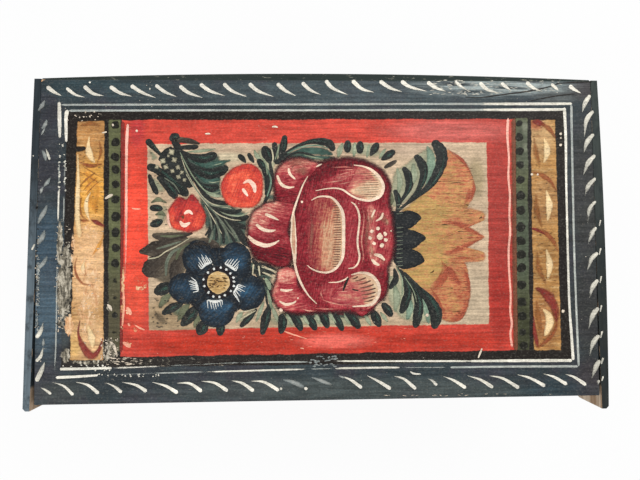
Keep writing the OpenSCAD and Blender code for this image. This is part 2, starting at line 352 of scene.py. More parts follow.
# the lid board's flat grounds, drawn as four-sided fields; corners are pixels of the photograph
lidGround = dict(
    border=(52, 62, 66),
    borderTints=[((46, 245), (20, 42), (62, 82, 96), 0.9), ((46, 312), (20, 52), (72, 92, 105), 0.95),
                 ((45, 150), (20, 60), (58, 60, 66), 0.8), ((95, 88), (60, 14), (52, 70, 76), 0.8),
                 ((320, 93), (260, 18), (74, 86, 90), 0.8), ((586, 90), (26, 14), (70, 67, 68), 0.9),
                 # the pale grey tint at (556, 97) is painted sheen on the border
                 ((556, 97), (26, 10), (88, 92, 91), 0.8), ((586, 200), (22, 110), (57, 58, 57), 0.95),
                 ((588, 310), (20, 64), (54, 55, 54), 0.95), ((590, 377), (18, 24), (58, 54, 56), 0.9),
                 ((350, 390), (230, 15), (74, 82, 81), 0.85), ((552, 389), (40, 12), (48, 63, 69), 0.85),
                 ((130, 380), (90, 13), (42, 50, 55), 0.85), ((60, 392), (30, 14), (64, 70, 68), 0.8)],
    borderPlum=(57, 56, 64),
    # painted sheen: a pale patch, streaked along the grain, over the top right of the border where the lamp
    # would be mirrored in the varnish
    paintedSheen=dict(spot=((490, 87), (92, 12)), colour=(156, 166, 164), amount=0.95),
    black=(36, 31, 28),
    blackField=[(67, 111), (565.5, 110), (571.5, 360.5), (61, 368.5)],
    blackTints=[((300, 356), (240, 6), (42, 38, 36), 0.5), ((64, 330), (8, 26), (66, 74, 76), 0.9)],
    ochre=(186, 138, 80),
    ochreLeft=[(77.5, 121), (104, 121), (103, 360), (70, 360)],
    ochreRight=[(531, 120), (555, 120), (561, 350), (534, 350)],
    ochreTints=[((90, 130), (24, 28), (184, 132, 78), 0.95), ((92, 192), (22, 40), (234, 170, 74), 0.95),
                ((88, 268), (26, 56), (240, 192, 140), 0.95), ((88, 340), (24, 30), (226, 182, 134), 0.85),
                ((540, 138), (20, 26), (196, 158, 110), 0.9), ((546, 200), (20, 34), (168, 124, 78), 0.9),
                ((548, 265), (20, 30), (166, 120, 68), 0.9), ((546, 320), (20, 34), (158, 106, 64), 0.9),
                ((75, 345), (8, 16), (228, 184, 112), 0.8), ((536, 124), (10, 8), (160, 78, 52), 0.8)],
    ochreBrown=(134, 82, 44), ochrePale=(236, 200, 144),
    green=(97, 100, 68),
    greenLeft=[(109, 120), (120.5, 120), (120, 352), (108.5, 352)],
    greenRight=[(515.6, 118), (527.4, 118), (529.4, 350), (517, 350)],
    greenTints=[((114, 320), (14, 60), (82, 77, 56), 1.0), ((522, 240), (16, 70), (80, 88, 70), 1.0),
                ((522, 330), (16, 50), (56, 58, 40), 0.9), ((523, 145), (12, 40), (86, 92, 76), 0.9),
                ((525, 128), (4, 8), (122, 126, 106), 0.9), ((525.5, 147), (4, 6), (118, 122, 102), 0.9)],
    red=(206, 72, 58),
    redField=[(122, 120), (513.5, 119), (514.5, 350), (120, 357)],
    redTints=[((136, 225), (20, 80), (246, 80, 58), 0.95), ((137, 131), (10, 20), (186, 58, 60), 0.8),
              ((300, 342), (230, 18), (186, 54, 38), 0.95), ((500, 220), (22, 140), (168, 60, 52), 1.0),
              # the pink tint at (450, 131) is painted sheen on the red
              ((450, 131), (80, 15), (202, 102, 94), 0.85), ((200, 346), (70, 10), (184, 48, 27), 0.8),
              ((460, 340), (60, 10), (178, 53, 38), 0.8), ((336, 341), (44, 9), (238, 112, 98), 0.85),
              ((500, 300), (14, 50), (160, 46, 38), 0.8), ((136, 300), (12, 40), (230, 82, 58), 0.8)],
    cream=(204, 178, 148),
    creamField=[(147, 144), (487, 142), (489, 324), (149, 330)],
    creamTints=[((160, 200), (34, 50), (212, 182, 150), 0.8), ((170, 315), (46, 26), (160, 136, 104), 0.95),
                ((470, 300), (40, 40), (194, 174, 146), 0.9), ((415, 148), (40, 12), (188, 164, 140), 0.8),
                ((476, 178), (12, 26), (160, 142, 108), 0.9), ((330, 326), (120, 12), (176, 152, 122), 0.7),
                ((300, 148), (120, 10), (194, 164, 138), 0.8), ((228, 157), (24, 6), (208, 196, 164), 0.7)],
    wander=(1.4, 0.9),      # mm that a field's edge wanders, slowly and quickly
    side=(40, 50, 47), sideFleck=(150, 148, 132), woodPale=(176, 140, 100), woodDark=(128, 92, 60),
)


def fieldMask(tree, place, corners, wander):
    spots = [onLid(*corner) / mm for corner in corners]
    inside = None
    for first, second in zip(spots, spots[1:] + spots[:1]):
        run = (second - first).normalized()
        inward = Vector((run.y, -run.x, 0))       # the corners go round clockwise
        away = add(tree, "VectorMath", {0: place, 1: inward}, operation="DOT_PRODUCT").outputs["Value"]
        away = minus(tree, away, first.dot(inward))
        inside = away if inside is None else calc(tree, "MINIMUM", inside, away)
    return ramp(tree, plus(tree, inside, wander), -0.5, 0.5)


def tinted(tree, place, base, tints):
    colour = base
    for centre, radii, tint, amount in tints:
        spot = times(tree, softSpot(tree, place, centre, radii), amount)
        colour = blend(tree, spot, colour, tint)
    return colour


def mixGrounds(tree, place):
    ground = lidGround
    slow = minus(tree, noise(tree, place, 0.05, 2.0), 0.5)
    quick = minus(tree, noise(tree, place, 0.45, 3.0), 0.5)
    wander = plus(tree, times(tree, slow, 2 * ground["wander"][0]),
                  times(tree, quick, 2 * ground["wander"][1]))
    lengthways = longNoise(tree, place, (0.02, 0.33, 0.33), 4.0, 0.65)
    upright = longNoise(tree, place, (0.33, 0.03, 0.33), 4.0, 0.65)
    turned = stretch(tree, place, (1, 1, 1), (0, 0, 0), (0, 0, math.radians(38)))
    level = longNoise(tree, place, (0.07, 0.52, 0.52), 4.0, 0.68, shift=(4, 0, 0))
    diagonal = longNoise(tree, turned, (0.05, 0.36, 0.36), 4.0, 0.68)

    cloudy = ramp(tree, noise(tree, place, 0.03, 3.0, 0.6), 0.44, 0.64)
    colour = blend(tree, times(tree, cloudy, 0.7), ground["border"], ground["borderPlum"])
    colour = tinted(tree, place, colour, ground["borderTints"])
    colour = blend(tree, times(tree, cloudy, 0.22), colour, ground["borderPlum"])
    # painted sheen over the top right of the border, streaked along the grain
    paintedSheen = ground["paintedSheen"]
    sheenSpot = times(tree, softSpot(tree, place, *paintedSheen["spot"]), paintedSheen["amount"])
    colour = blend(tree, times(tree, sheenSpot, ramp(tree, lengthways, 0.36, 0.58)), colour, paintedSheen["colour"])
    colour = shade(tree, colour, ramp(tree, lengthways, 0.3, 0.7, 0.80, 1.18))
    for name, fields in (("black", ["blackField"]), ("ochre", ["ochreLeft", "ochreRight"]),
                         ("green", ["greenLeft", "greenRight"]), ("red", ["redField"]),
                         ("cream", ["creamField"])):
        paint = tinted(tree, place, ground[name], ground[name + "Tints"])
        if name == "ochre":
            paint = blend(tree, ramp(tree, level, 0.52, 0.72, 0.0, 0.6), paint, ground["ochreBrown"])
            paint = blend(tree, ramp(tree, level, 0.28, 0.48, 0.5, 0.0), paint, ground["ochrePale"])
            paint = blend(tree, ramp(tree, diagonal, 0.52, 0.72, 0.0, 0.3), paint, ground["ochreBrown"])
        else:
            brushed = upright if name == "green" else lengthways
            paint = shade(tree, paint, ramp(tree, brushed, 0.28, 0.72, 0.84, 1.12))
        for field in fields:
            colour = blend(tree, fieldMask(tree, place, ground[field], wander), colour, paint)
    return colour


def paintLidBoard():
    ground = lidGround
    material, tree, shader = newMaterial("lidBoardPaint")
    place = millimetres(tree)
    aged = useGroup(tree, lidAge, {"Paint": mixGrounds(tree, place)})
    # the board's edges are plain dark green, and its underside was never painted
    bare = {"Place": place, "Pale": ground["woodPale"], "Dark": ground["woodDark"]}
    wood = useGroup(tree, boardGrain, bare)
    high = add(tree, "SeparateXYZ", {0: place}).outputs["Z"]
    flecks = longNoise(tree, place, (0.10, 0.3, 0.3), 4.0, 0.7)
    edge = blend(tree, ramp(tree, flecks, 0.60, 0.68), ground["side"], ground["sideFleck"])
    onEdge = ramp(tree, high, lidHigh.z / mm - 1.1, lidHigh.z / mm - 0.6, 1.0, 0.0)
    under = ramp(tree, high, lidLow.z / mm + 0.2, lidLow.z / mm + 1.6, 1.0, 0.0)
    colour = blend(tree, onEdge, aged["Colour"], edge)
    colour = blend(tree, under, colour, wood["Colour"])
    surface(tree, shader, colour, aged["Rough"], aged["Height"], 0.35, 0.5)
    return material


# the case: dark blue-green outside, bare inside and underneath, rubbed along its edges
casePaint = dict(
    colour=(58, 72, 77), worn=(74, 92, 98), dark=(42, 52, 55),
    pale=(186, 150, 108), grain=(134, 98, 64),
    edgeReach=3.2,      # mm from an outer edge that the paint is rubbed off
)


def paintCase(name, lengthwise):
    settings = casePaint
    material, tree, shader = newMaterial(name)
    place = millimetres(tree)
    along = place if lengthwise else stretch(tree, place, (1, 1, 1), (0, 0, 0), (0, 0, math.radians(90)))
    parts = add(tree, "SeparateXYZ", {0: place}).outputs
    front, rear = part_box("front_board"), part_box("back_board")
    halfLong = front[1].x / mm
    halfDeep = rear[1].y / mm
    rim = front[1].z / mm
    wallThick = (front[1].y - front[0].y) / mm
    fromEnd = minus(tree, halfLong, calc(tree, "ABSOLUTE", parts["X"]))
    fromFace = minus(tree, halfDeep, calc(tree, "ABSOLUTE", parts["Y"]))
    corner = plus(tree, calc(tree, "ABSOLUTE", fromEnd), calc(tree, "ABSOLUTE", fromFace))
    top = minus(tree, rim, parts["Z"])
    edge = calc(tree, "MINIMUM", corner, calc(tree, "ABSOLUTE", top))
    patchy = noise(tree, place, 0.05, 5.0, 0.65)
    streaks = longNoise(tree, along, (0.015, 0.30, 0.30), 4.0, 0.65)
    stains = noise(tree, place, 0.012, 3.0)
    reach = times(tree, ramp(tree, patchy, 0.35, 0.7), settings["edgeReach"] * 2.2)
    rubbed = ramp(tree, minus(tree, edge, reach), -0.9, 0.5, 1.0, 0.0)
    scuffs = longNoise(tree, along, (0.05, 0.32, 0.32), 4.0, 0.7, shift=(5, 9, 2))
    scuffs = times(tree, ramp(tree, scuffs, 0.68, 0.74), ramp(tree, stains, 0.46, 0.6))
    inLong = ramp(tree, fromEnd, wallThick - 0.5, wallThick - 0.2)
    inDeep = ramp(tree, fromFace, wallThick - 0.5, wallThick - 0.2)
    inside = times(tree, inLong, inDeep)
    below = ramp(tree, parts["Z"], 0.2, 1.4, 1.0, 0.0)
    bare = larger(tree, larger(tree, inside, below), larger(tree, rubbed, scuffs))
    paint = blend(tree, ramp(tree, streaks, 0.35, 0.7), settings["colour"], settings["worn"])
    paint = blend(tree, ramp(tree, stains, 0.35, 0.65, 0.0, 0.7), paint, settings["dark"])
    wood = useGroup(tree, boardGrain, {"Place": along, "Pale": settings["pale"], "Dark": settings["grain"]})
    paint = shade(tree, paint, ramp(tree, wood["Fibre"], 0.3, 0.7, 0.86, 1.1))
    colour = blend(tree, bare, paint, wood["Colour"])
    rough = ramp(tree, bare, 0.0, 1.0, 0.46, 0.72)
    height = minus(tree, plus(tree, streaks, wood["Height"]), times(tree, bare, 0.9))
    surface(tree, shader, colour, rough, height, 0.35, 0.5)
    return material


cleatPaint = dict(
    left=((45, 53, 58), (97, 110, 118)), right=((58, 65, 62), (44, 48, 47)),     # towards the rear, the front
    # dark is used both for the blotches and for the painted shade on the inner face
    dark=(36, 42, 45), pale=(224, 204, 180), grain=(168, 138, 110),
    bareFrom=(-148.0, -144.0),       # mm, in front of this the inner face is worn bare
)


def paintCleat(name, side, inward):    # inward is the way the inner face looks along x
    settings = cleatPaint
    material, tree, shader = newMaterial(name)
    place = millimetres(tree)
    along = stretch(tree, place, (1, 1, 1), (0, 0, 0), (0, 0, math.radians(90)))
    parts = add(tree, "SeparateXYZ", {0: place}).outputs
    facing = add(tree, "SeparateXYZ", {0: add(tree, "TexCoord").outputs["Normal"]}).outputs["X"]
    inner = ramp(tree, times(tree, facing, inward), 0.45, 0.7)
    streaks = longNoise(tree, along, (0.02, 0.34, 0.34), 4.0, 0.65)
    patchy = longNoise(tree, place, (0.10, 0.06, 0.10), 5.0, 0.7)
    rear, front = settings[side]
    paint = blend(tree, ramp(tree, parts["Y"], -60.0, 90.0), front, rear)
    paint = shade(tree, paint, ramp(tree, streaks, 0.3, 0.7, 0.80, 1.2))
    paint = blend(tree, ramp(tree, patchy, 0.46, 0.66, 0.0, 0.75), paint, settings["dark"])
    # painted shade: the inner face, which faces the case end, is pulled most of the way to the dark colour
    paint = blend(tree, times(tree, inner, 0.8), paint, settings["dark"])
    wood = useGroup(tree, boardGrain, {"Place": along, "Pale": settings["pale"], "Dark": settings["grain"]})
    arris = calc(tree, "ABSOLUTE", minus(tree, parts["Z"], cleatHigh.z / mm))
    sideways = ramp(tree, calc(tree, "ABSOLUTE", facing), 0.15, 0.35)     # only on the rounded arris
    arris = times(tree, ramp(tree, arris, 0.6, 1.8, 1.0, 0.0), sideways)
    rubbed = times(tree, arris, ramp(tree, patchy, 0.50, 0.62))
    scuffs = ramp(tree, longNoise(tree, place, (0.4, 0.09, 0.4), 4.0, 0.7), 0.70, 0.75)
    start, end = settings["bareFrom"]
    frontBare = times(tree, inner, ramp(tree, parts["Y"], start, end, 1.0, 0.0))
    bare = larger(tree, frontBare, larger(tree, rubbed, scuffs))
    colour = blend(tree, bare, paint, wood["Colour"])
    height = minus(tree, plus(tree, streaks, wood["Height"]), times(tree, bare, 0.8))
    surface(tree, shader, colour, ramp(tree, bare, 0.0, 1.0, 0.46, 0.74), height, 0.3, 0.5)
    return material


pinWood = dict(pale=(190, 150, 104), dark=(128, 92, 58))


def finishPins():
    material, tree, shader = newMaterial("pivotWood")
    place = millimetres(tree)
    wood = useGroup(tree, boardGrain, {"Place": place, "Pale": pinWood["pale"], "Dark": pinWood["dark"]})
    rubbed = noise(tree, place, 0.4, 3.0)
    colour = shade(tree, wood["Colour"], ramp(tree, rubbed, 0.3, 0.7, 0.8, 1.05))
    surface(tree, shader, colour, ramp(tree, rubbed, 0.3, 0.7, 0.42, 0.6), wood["Height"], 0.15, 0.5)
    return material


forgedIron = dict(dark=(52, 46, 43), rust=(104, 66, 44), scale=(74, 68, 64))


def finishNails():
    material, tree, shader = newMaterial("forgedIron")
    place = millimetres(tree)
    bloom = noise(tree, place, 0.55, 5.0, 0.65)
    pits = noise(tree, place, 1.6, 3.0)
    colour = blend(tree, ramp(tree, bloom, 0.42, 0.62), forgedIron["dark"], forgedIron["rust"])
    colour = blend(tree, ramp(tree, pits, 0.58, 0.72), colour, forgedIron["scale"])
    feed(tree, shader.inputs["Metallic"], ramp(tree, bloom, 0.42, 0.62, 0.75, 0.1))
    surface(tree, shader, colour, ramp(tree, bloom, 0.35, 0.65, 0.45, 0.85), pits, 0.2, 0.7, 0.5)
    return material


arrises = dict(       # mm that each board's edges are worn round
    lid_board=0.9, left_cleat=0.9, right_cleat=0.9, base_board=1.0, front_board=0.7, back_board=0.7,
    left_end_board=0.7, right_end_board=0.7, left_pivot_pin=0.5, right_pivot_pin=0.5,
)
arrisShape = dict(weld=0.01, segments=2, sharpest=35)       # mm, faces round an edge, degrees


def dressCad():
    lengthwise, crosswise = paintCase("caseLong", True), paintCase("caseEnds", False)
    iron, pins = finishNails(), finishPins()
    finishes = dict(
        lid_board=paintLidBoard(), left_cleat=paintCleat("cleatLeft", "left", 1.0),
        right_cleat=paintCleat("cleatRight", "right", -1.0), base_board=lengthwise, front_board=lengthwise,
        back_board=lengthwise, left_end_board=crosswise, right_end_board=crosswise,
        left_pivot_pin=pins, right_pivot_pin=pins)
    for name, board in nodes.items():
        board.data.materials.clear()
        board.data.materials.append(finishes.get(name, iron))
        if name in arrises:
            weld = board.modifiers.new("weld", "WELD")
            weld.merge_threshold = arrisShape["weld"] * mm
            arris = board.modifiers.new("arris", "BEVEL")
            arris.width = arrises[name] * mm
            arris.segments = arrisShape["segments"]
            arris.limit_method = "ANGLE"
            arris.angle_limit = math.radians(arrisShape["sharpest"])
            arris.harden_normals = False


dressCad()
print("boards, cleats, pins and nails finished")

# every paint of the ornament: how strongly the brush hairs part its colours, how evenly it thins out,
# and its colours from the first to the last load
paints = dict(
    white=(0.8, 0.2, (150, 150, 142), (224, 219, 203), (252, 247, 235)),
    lineGrey=(0.6, 0.3, (92, 102, 104), (156, 162, 158), (216, 215, 204)),
    ghost=(0.9, 1.0, (92, 102, 104), (142, 149, 147), (200, 200, 192)),
    pinkLine=(0.45, 0.3, (216, 112, 94), (238, 164, 144), (250, 204, 186)),
    dotDark=(0.4, 0.2, (26, 26, 21), (42, 42, 34)), seam=(0.4, 1.0, (110, 40, 36), (158, 58, 50)),
    seamBrown=(0.5, 1.0, (98, 54, 40), (136, 86, 62)),
    leafDark=(0.75, 0.4, (30, 31, 31), (46, 49, 47), (72, 78, 73)),
    leafBrown=(0.8, 0.7, (48, 42, 38), (74, 65, 56), (106, 96, 78)),
    leafOlive=(0.5, 0.8, (62, 68, 52), (92, 97, 74), (124, 127, 99)),
    leafTeal=(0.8, 0.9, (56, 76, 68), (106, 132, 113), (156, 178, 152)),
    leafPale=(0.8, 0.9, (88, 101, 82), (132, 144, 118), (172, 177, 149)),
    leafDeep=(0.7, 0.8, (30, 48, 44), (48, 74, 66), (80, 108, 97)),
    leafGrey=(0.7, 0.6, (70, 79, 69), (106, 113, 97), (142, 147, 127)),
    washGreen=(0.5, 1.0, (64, 82, 68), (104, 120, 97), (142, 150, 122)),
    washPale=(0.6, 1.0, (122, 128, 102), (158, 159, 130), (192, 184, 154)),
    washDark=(0.6, 1.0, (38, 50, 46), (60, 76, 68), (96, 112, 98)),
    washBrown=(0.6, 1.0, (50, 45, 40), (80, 72, 61), (118, 108, 88)),
    washMaroon=(0.6, 1.0, (44, 22, 26), (72, 34, 38), (112, 66, 62)),
    calyx=(0.5, 0.3, (22, 24, 27), (36, 39, 41), (58, 62, 61)),
    vein=(0.4, 0.5, (140, 138, 114), (192, 183, 153), (222, 208, 178)),
    rose=(0.78, 1.0, (78, 14, 24), (130, 27, 38), (170, 58, 66), (206, 119, 107), (238, 188, 162)),
    cup=(0.95, 0.6, (134, 36, 46), (162, 68, 66), (186, 112, 89), (203, 150, 116), (216, 177, 141)),
    lip=(0.6, 0.6, (150, 46, 58), (182, 90, 86), (201, 144, 117), (214, 182, 147), (233, 211, 182)),
    roseCream=(0.4, 0.3, (204, 168, 140), (234, 206, 180), (247, 228, 206)),
    hatchDark=(0.3, 0.6, (84, 54, 46), (134, 90, 72)),
    swirl=(0.8, 1.0, (126, 68, 60), (158, 98, 84), (186, 128, 108)),
    bloom=(0.75, 1.0, (118, 38, 44), (184, 54, 50), (226, 84, 62), (246, 132, 98)),
    bloomCream=(0.3, 0.2, (238, 176, 152), (252, 212, 190), (255, 232, 214)),
    navy=(0.75, 0.6, (25, 28, 33), (32, 45, 56), (42, 70, 92), (64, 108, 136)),
    ring=(0.3, 0.2, (22, 16, 20), (38, 30, 34)),
    yellow=(0.8, 0.3, (112, 78, 40), (160, 120, 68), (196, 160, 104), (222, 196, 150)),
    umber=(0.4, 0.6, (66, 46, 28), (104, 76, 44)),
    petalWhite=(0.5, 0.3, (140, 154, 160), (200, 205, 201), (238, 236, 228)),
    tulipRed=(0.9, 1.0, (158, 72, 52), (186, 96, 70), (206, 128, 95)),
    tulip=(1.2, 1.0, (186, 152, 90), (190, 140, 88), (192, 126, 86), (178, 96, 68), (140, 64, 48)),
    ochreCream=(0.5, 0.8, (208, 168, 110), (232, 200, 148), (246, 222, 182)),
    ochreOrange=(0.55, 0.9, (186, 110, 46), (222, 152, 64), (244, 188, 92)),
    ochreSienna=(0.7, 1.0, (110, 46, 32), (150, 80, 48), (184, 116, 70)),
    ochreBrown=(0.7, 1.0, (112, 62, 30), (152, 94, 50), (180, 124, 70)),
    ochreRust=(0.7, 0.9, (86, 28, 30), (126, 45, 41), (162, 78, 56)),
    notch=(0.3, 0.3, (30, 25, 22), (48, 41, 36)), chip=(0.35, 0.3, (204, 186, 162), (238, 224, 204)),
    redChip=(0.4, 0.5, (236, 138, 108), (250, 186, 158)), crack=(0.3, 0.3, (28, 24, 22), (44, 38, 34)),
)


paintAge = dict(thin=0.75, grain=0.5, tulipGrain=0.9)       # how strongly the lid's age shows in the strokes


def makePaint(name):
    hairs, soft, *colours = paints[name]
    material, tree, shader = newMaterial(name + "Paint")
    hair = useGroup(tree, bristles, {"Strength": hairs, "Soft": soft})
    colour = shade(tree, colourRun(tree, hair["Mix"], colours), hair["Tone"])
    grain = paintAge["tulipGrain" if name == "tulip" else "grain"]
    aged = useGroup(tree, lidAge, {"Paint": colour, "Thin": paintAge["thin"], "Grain": grain})
    height = plus(tree, aged["Height"], hair["Height"])
    surface(tree, shader, aged["Colour"], aged["Rough"], height, 0.3, 0.5)
    feed(tree, shader.inputs["Alpha"], minus(tree, 1.0, hair["Fade"]))
    return material


paintBox = {name: makePaint(name) for name in paints}
print("paints mixed:", len(paintBox))

# the ornament is laid on in thin raised strokes, one over another; heights in mm above the board
layers = dict(
    field=0.04, shadow=0.09, leaf=0.14, edge=0.25, petal=0.30, shade=0.36, light=0.42, outline=0.48,
)
strokeSheet = dict(
    sunk=0.16, crown=0.07, spare=0.1, step=0.0025,      # mm
    steps=20,           # strokes before the steps start again
    across=4, cells=(10, 48), cell=1.6,      # faces across, least and most along, pixels for each
    thinnest=0.12, tip=0.3, pinch=0.002, wobble=0.08,
    weld=1e-7, smooth=40,       # metres, degrees
)
blobSheet = dict(
    around=(12, 2.4, 2, 14), rings=(4, 6, 1, 7),     # faces in a step, pixels for it, least and most steps
    ragged=0.3, glazeEdge=1.3, glazeSpots=5, tilts=(-40, 40),
)
sheets, pieces = {}, {}


def blankSheet(along, across):    # a flat grid, made once for each size and then copied
    if (along, across) not in sheets:
        bpy.ops.object.select_all(action="DESELECT")
        bpy.ops.mesh.primitive_grid_add(x_subdivisions=along, y_subdivisions=across, size=2)
        item = bpy.context.object
        while item.data.uv_layers:
            item.data.uv_layers.remove(item.data.uv_layers[0])
        spots = np.empty(len(item.data.vertices) * 3)
        item.data.vertices.foreach_get("co", spots)
        spots = spots.reshape(-1, 3) / 2 + 0.5
        sheets[along, across] = (item.data, np.rint(spots[:, 0] * along).astype(int), spots[:, 1])
        bpy.data.objects.remove(item)
    return sheets[along, across]


def layMark(piece, paint, sheet, flat, height, values):
    mesh = sheet.copy()
    marks = pieces.setdefault(piece, [])
    step = strokeSheet["step"] * (len(marks) % strokeSheet["steps"])
    lift = lidMiddle.z + (height + step) * mm
    mesh.vertices.foreach_set("co", np.column_stack((flat, lift)).ravel())
    values["tone"] = np.full(len(flat), dice.random())
    for label, numbers in values.items():
        mesh.attributes.new(label, "FLOAT", "POINT").data.foreach_set("value", numbers)
    mesh.materials.append(paintBox[paint])
    item = bpy.data.objects.new(piece + "Mark", mesh)
    bpy.context.collection.objects.link(item)
    marks.append(item)


def alongCurve(stops, spots):    # a smooth line through the stops
    stops = np.asarray(stops, float)
    ends = np.vstack((2 * stops[0] - stops[1], stops, 2 * stops[-1] - stops[-2]))
    reached = np.clip(spots, 0, 1) * (len(stops) - 1)
    index = np.minimum(reached.astype(int), len(stops) - 2)
    t = (reached - index)[:, None]
    a, b, c, d = (ends[index + k] for k in range(4))
    return 0.5 * (2 * b + (c - a) * t + (2 * a - 5 * b + 4 * c - d) * t**2 + (3 * b - a - 3 * c + d) * t**3)


def flatSpot(x, y):
    return tuple(onLid(x, y))[:2]


def rows(flat, size=3):    # a flat list of numbers as rows: x, y and width, or x and y
    return np.reshape(flat, (-1, size)).astype(float)


def strokes(table):    # each row is a paint with the strokes laid in it
    for paint, *lines in table:
        for stops in lines:
            yield paint, stops


# a stroke through stops of x, y and width in pixels, written as one flat list; load and fade run from its
# start to its end, and soft lets its two sides run dry
def brush(piece, paint, stops, layer, load=(0.3, 0.8), side=0.0, fade=(0.0,), soft=0.0, lift=0.0):
    stops = rows(stops)
    reach = sum(math.dist(a[:2], b[:2]) for a, b in zip(stops, stops[1:]))
    fewest, most = strokeSheet["cells"]
    along = int(min(most, max(fewest, reach / strokeSheet["cell"])))
    sheet, column, v = blankSheet(along, strokeSheet["across"])
    spots = np.linspace(0, 1, along + 1)
    spots = 0.5 * spots + 0.25 * (1 - np.cos(np.pi * spots))       # closer together near the ends
    middle = alongCurve([flatSpot(x, y) for x, y, width in stops], spots)
    half = np.maximum(alongCurve(stops[:, 2:], spots)[:, 0], strokeSheet["thinnest"]) * pixel / 2
    run = np.concatenate(([0], np.cumsum(np.linalg.norm(np.diff(middle, axis=0), axis=1))))
    half *= 1 + strokeSheet["wobble"] * np.array([dice.uniform(-1, 1) for _ in spots])
    for end, gone in ((0, run), (-1, run[-1] - run)):      # round both ends
        tip = max(half[end], strokeSheet["tip"] * pixel)
        curve = 1 - (1 - np.minimum(gone / tip, 1)) ** 2
        half = half * np.sqrt(np.clip(curve, strokeSheet["pinch"], 1))
    heading = np.gradient(middle, axis=0)
    heading /= np.maximum(np.linalg.norm(heading, axis=1), 1e-9)[:, None]
    sideways = np.column_stack((-heading[:, 1], heading[:, 0]))
    out = (2 * v - 1) * half[column]
    flat = middle[column] + sideways[column] * out[:, None]
    crown = strokeSheet["crown"] * (1 - (2 * v - 1) ** 2) * np.minimum(half[column] / pixel, 1)
    share = spots[column]
    dry = np.interp(share, np.linspace(0, 1, len(fade)), fade) + soft * (2 * v - 1) ** 2
    values = dict(along=run[column] / mm, across=out / mm, fade=np.clip(dry, 0, 1),
                  load=np.interp(share, np.linspace(0, 1, len(load)), load) + side * (2 * v - 1))
    layMark(piece, paint, sheet, flat, layers[layer] + lift + crown, values)


def layAll(piece, table, kind, paint, layer):    # every stroke of one kind, with the touch named after it
    for stops in table[kind]:
        brush(piece, paint, stops, layer, **table[kind + "Touch"])


# a glaze pulls the colour towards its own load near a line of stops: x, y and how far it reaches
def glazed(load, flat, glazes):
    for target, strength, stops in glazes:
        stops = rows(stops)
        line = alongCurve([(*flatSpot(x, y), reach * pixel) for x, y, reach in stops],
                          np.linspace(0, 1, blobSheet["glazeSpots"] * len(stops)))
        away = np.linalg.norm(flat[:, None] - line[None, :, :2], axis=2) / line[None, :, 2]
        near = np.clip(blobSheet["glazeEdge"] - away.min(1), 0, 1)
        load = load + (target - load) * strength * near * near * (3 - 2 * near)
    return load


def cellCount(reach, way):
    step, size, least, most = blobSheet[way]
    return step * int(np.clip(reach / size, least, most))


# a filled shape from its outline in pixels; load runs from the middle to the edge, lean tips it one way
def blob(piece, paint, outline, layer, load=(0.5, 0.5), lean=(0, 0), flow=None, middle=None, lift=0.0,
         glazes=(), soft=0.0, thin=0.0, melt=(), rim=4.0):
    line = np.array([flatSpot(x, y) for x, y in rows(outline, 2)])
    area = np.sum(line[:, 0] * np.roll(line[:, 1], -1) - np.roll(line[:, 0], -1) * line[:, 1])
    if area > 0:
        line = line[::-1]          # clockwise, so that the sheet faces up
    size = np.ptp(line, axis=0)
    reach = size.max() / pixel / 2
    around, rings = cellCount(reach, "around"), cellCount(reach, "rings")
    sheet, column, v = blankSheet(around, rings)
    centre = line.mean(0) if middle is None else np.array(flatSpot(*middle))
    looped = np.vstack((line[-2:], line, line[:3]))
    edge = alongCurve(looped, (2 + np.linspace(0, 1, around + 1) * len(line)) / (len(looped) - 1))
    ragged = np.array([blobSheet["ragged"] * pixel * dice.uniform(-1, 1) for _ in edge])
    edge += (edge - centre) * (ragged / np.linalg.norm(edge - centre, axis=1))[:, None]
    edge[-1] = edge[0]
    flat = centre + (edge[column] - centre) * v[:, None]
    offset = (flat - centre) / np.maximum(size / 2, 1e-6)
    if flow is None:       # hairs fan out from the middle
        hairs = dict(along=np.linalg.norm(flat - centre, axis=1) / mm,
                     across=2 * np.pi * column / around * np.linalg.norm(size) / 5 / mm)
    else:
        way = np.array((math.cos(math.radians(flow)), math.sin(math.radians(flow))))
        hairs = dict(along=flat @ way / mm, across=flat @ np.array((-way[1], way[0])) / mm)
    shown = load[0] + (load[1] - load[0]) * v**2 + offset @ np.array(lean, float)
    band = np.clip(1 - (1 - v) * np.linalg.norm(edge[column] - centre, axis=1) / (rim * pixel), 0, 1)
    gone = glazed(np.zeros(len(flat)), flat, [(1.0, 1.0, stops) for stops in melt])
    fade = np.clip(np.maximum(thin + (1 - thin) * soft * band, gone), 0, 1)
    values = dict(hairs, load=glazed(shown, flat, glazes), fade=fade)
    layMark(piece, paint, sheet, flat, layers[layer] + lift + strokeSheet["crown"] * (1 - v**2), values)


def roundOutline(centre, radius, count, ragged):
    outline = []
    for k in range(count):
        angle = 2 * math.pi * k / count
        outline += [centre[0] + radius * (1 + ragged * dice.uniform(-1, 1)) * math.cos(angle),
                    centre[1] + radius * (1 + ragged * dice.uniform(-1, 1)) * math.sin(angle)]
    return outline


def halo(piece, paint, outline, grow, thin, load=0.5):    # a soft edge round a shape
    outline = rows(outline, 2)
    middle = np.mean(outline, axis=0)
    wider = [spot + grow * (spot - middle) / np.linalg.norm(spot - middle) for spot in outline]
    flow = dice.uniform(*blobSheet["tilts"])
    blob(piece, paint, wider, "edge", (load, load), flow=flow, soft=1.0, thin=thin, rim=grow + 4)


# short marks along the grain, spread over a box of pixels
fleckShape = dict(length=(0.3, 0.7), width=(0.6, 1.3), tilt=0.4, ends=0.4)
fleckTouch = dict(load=(0.3, 0.7), soft=0.3)


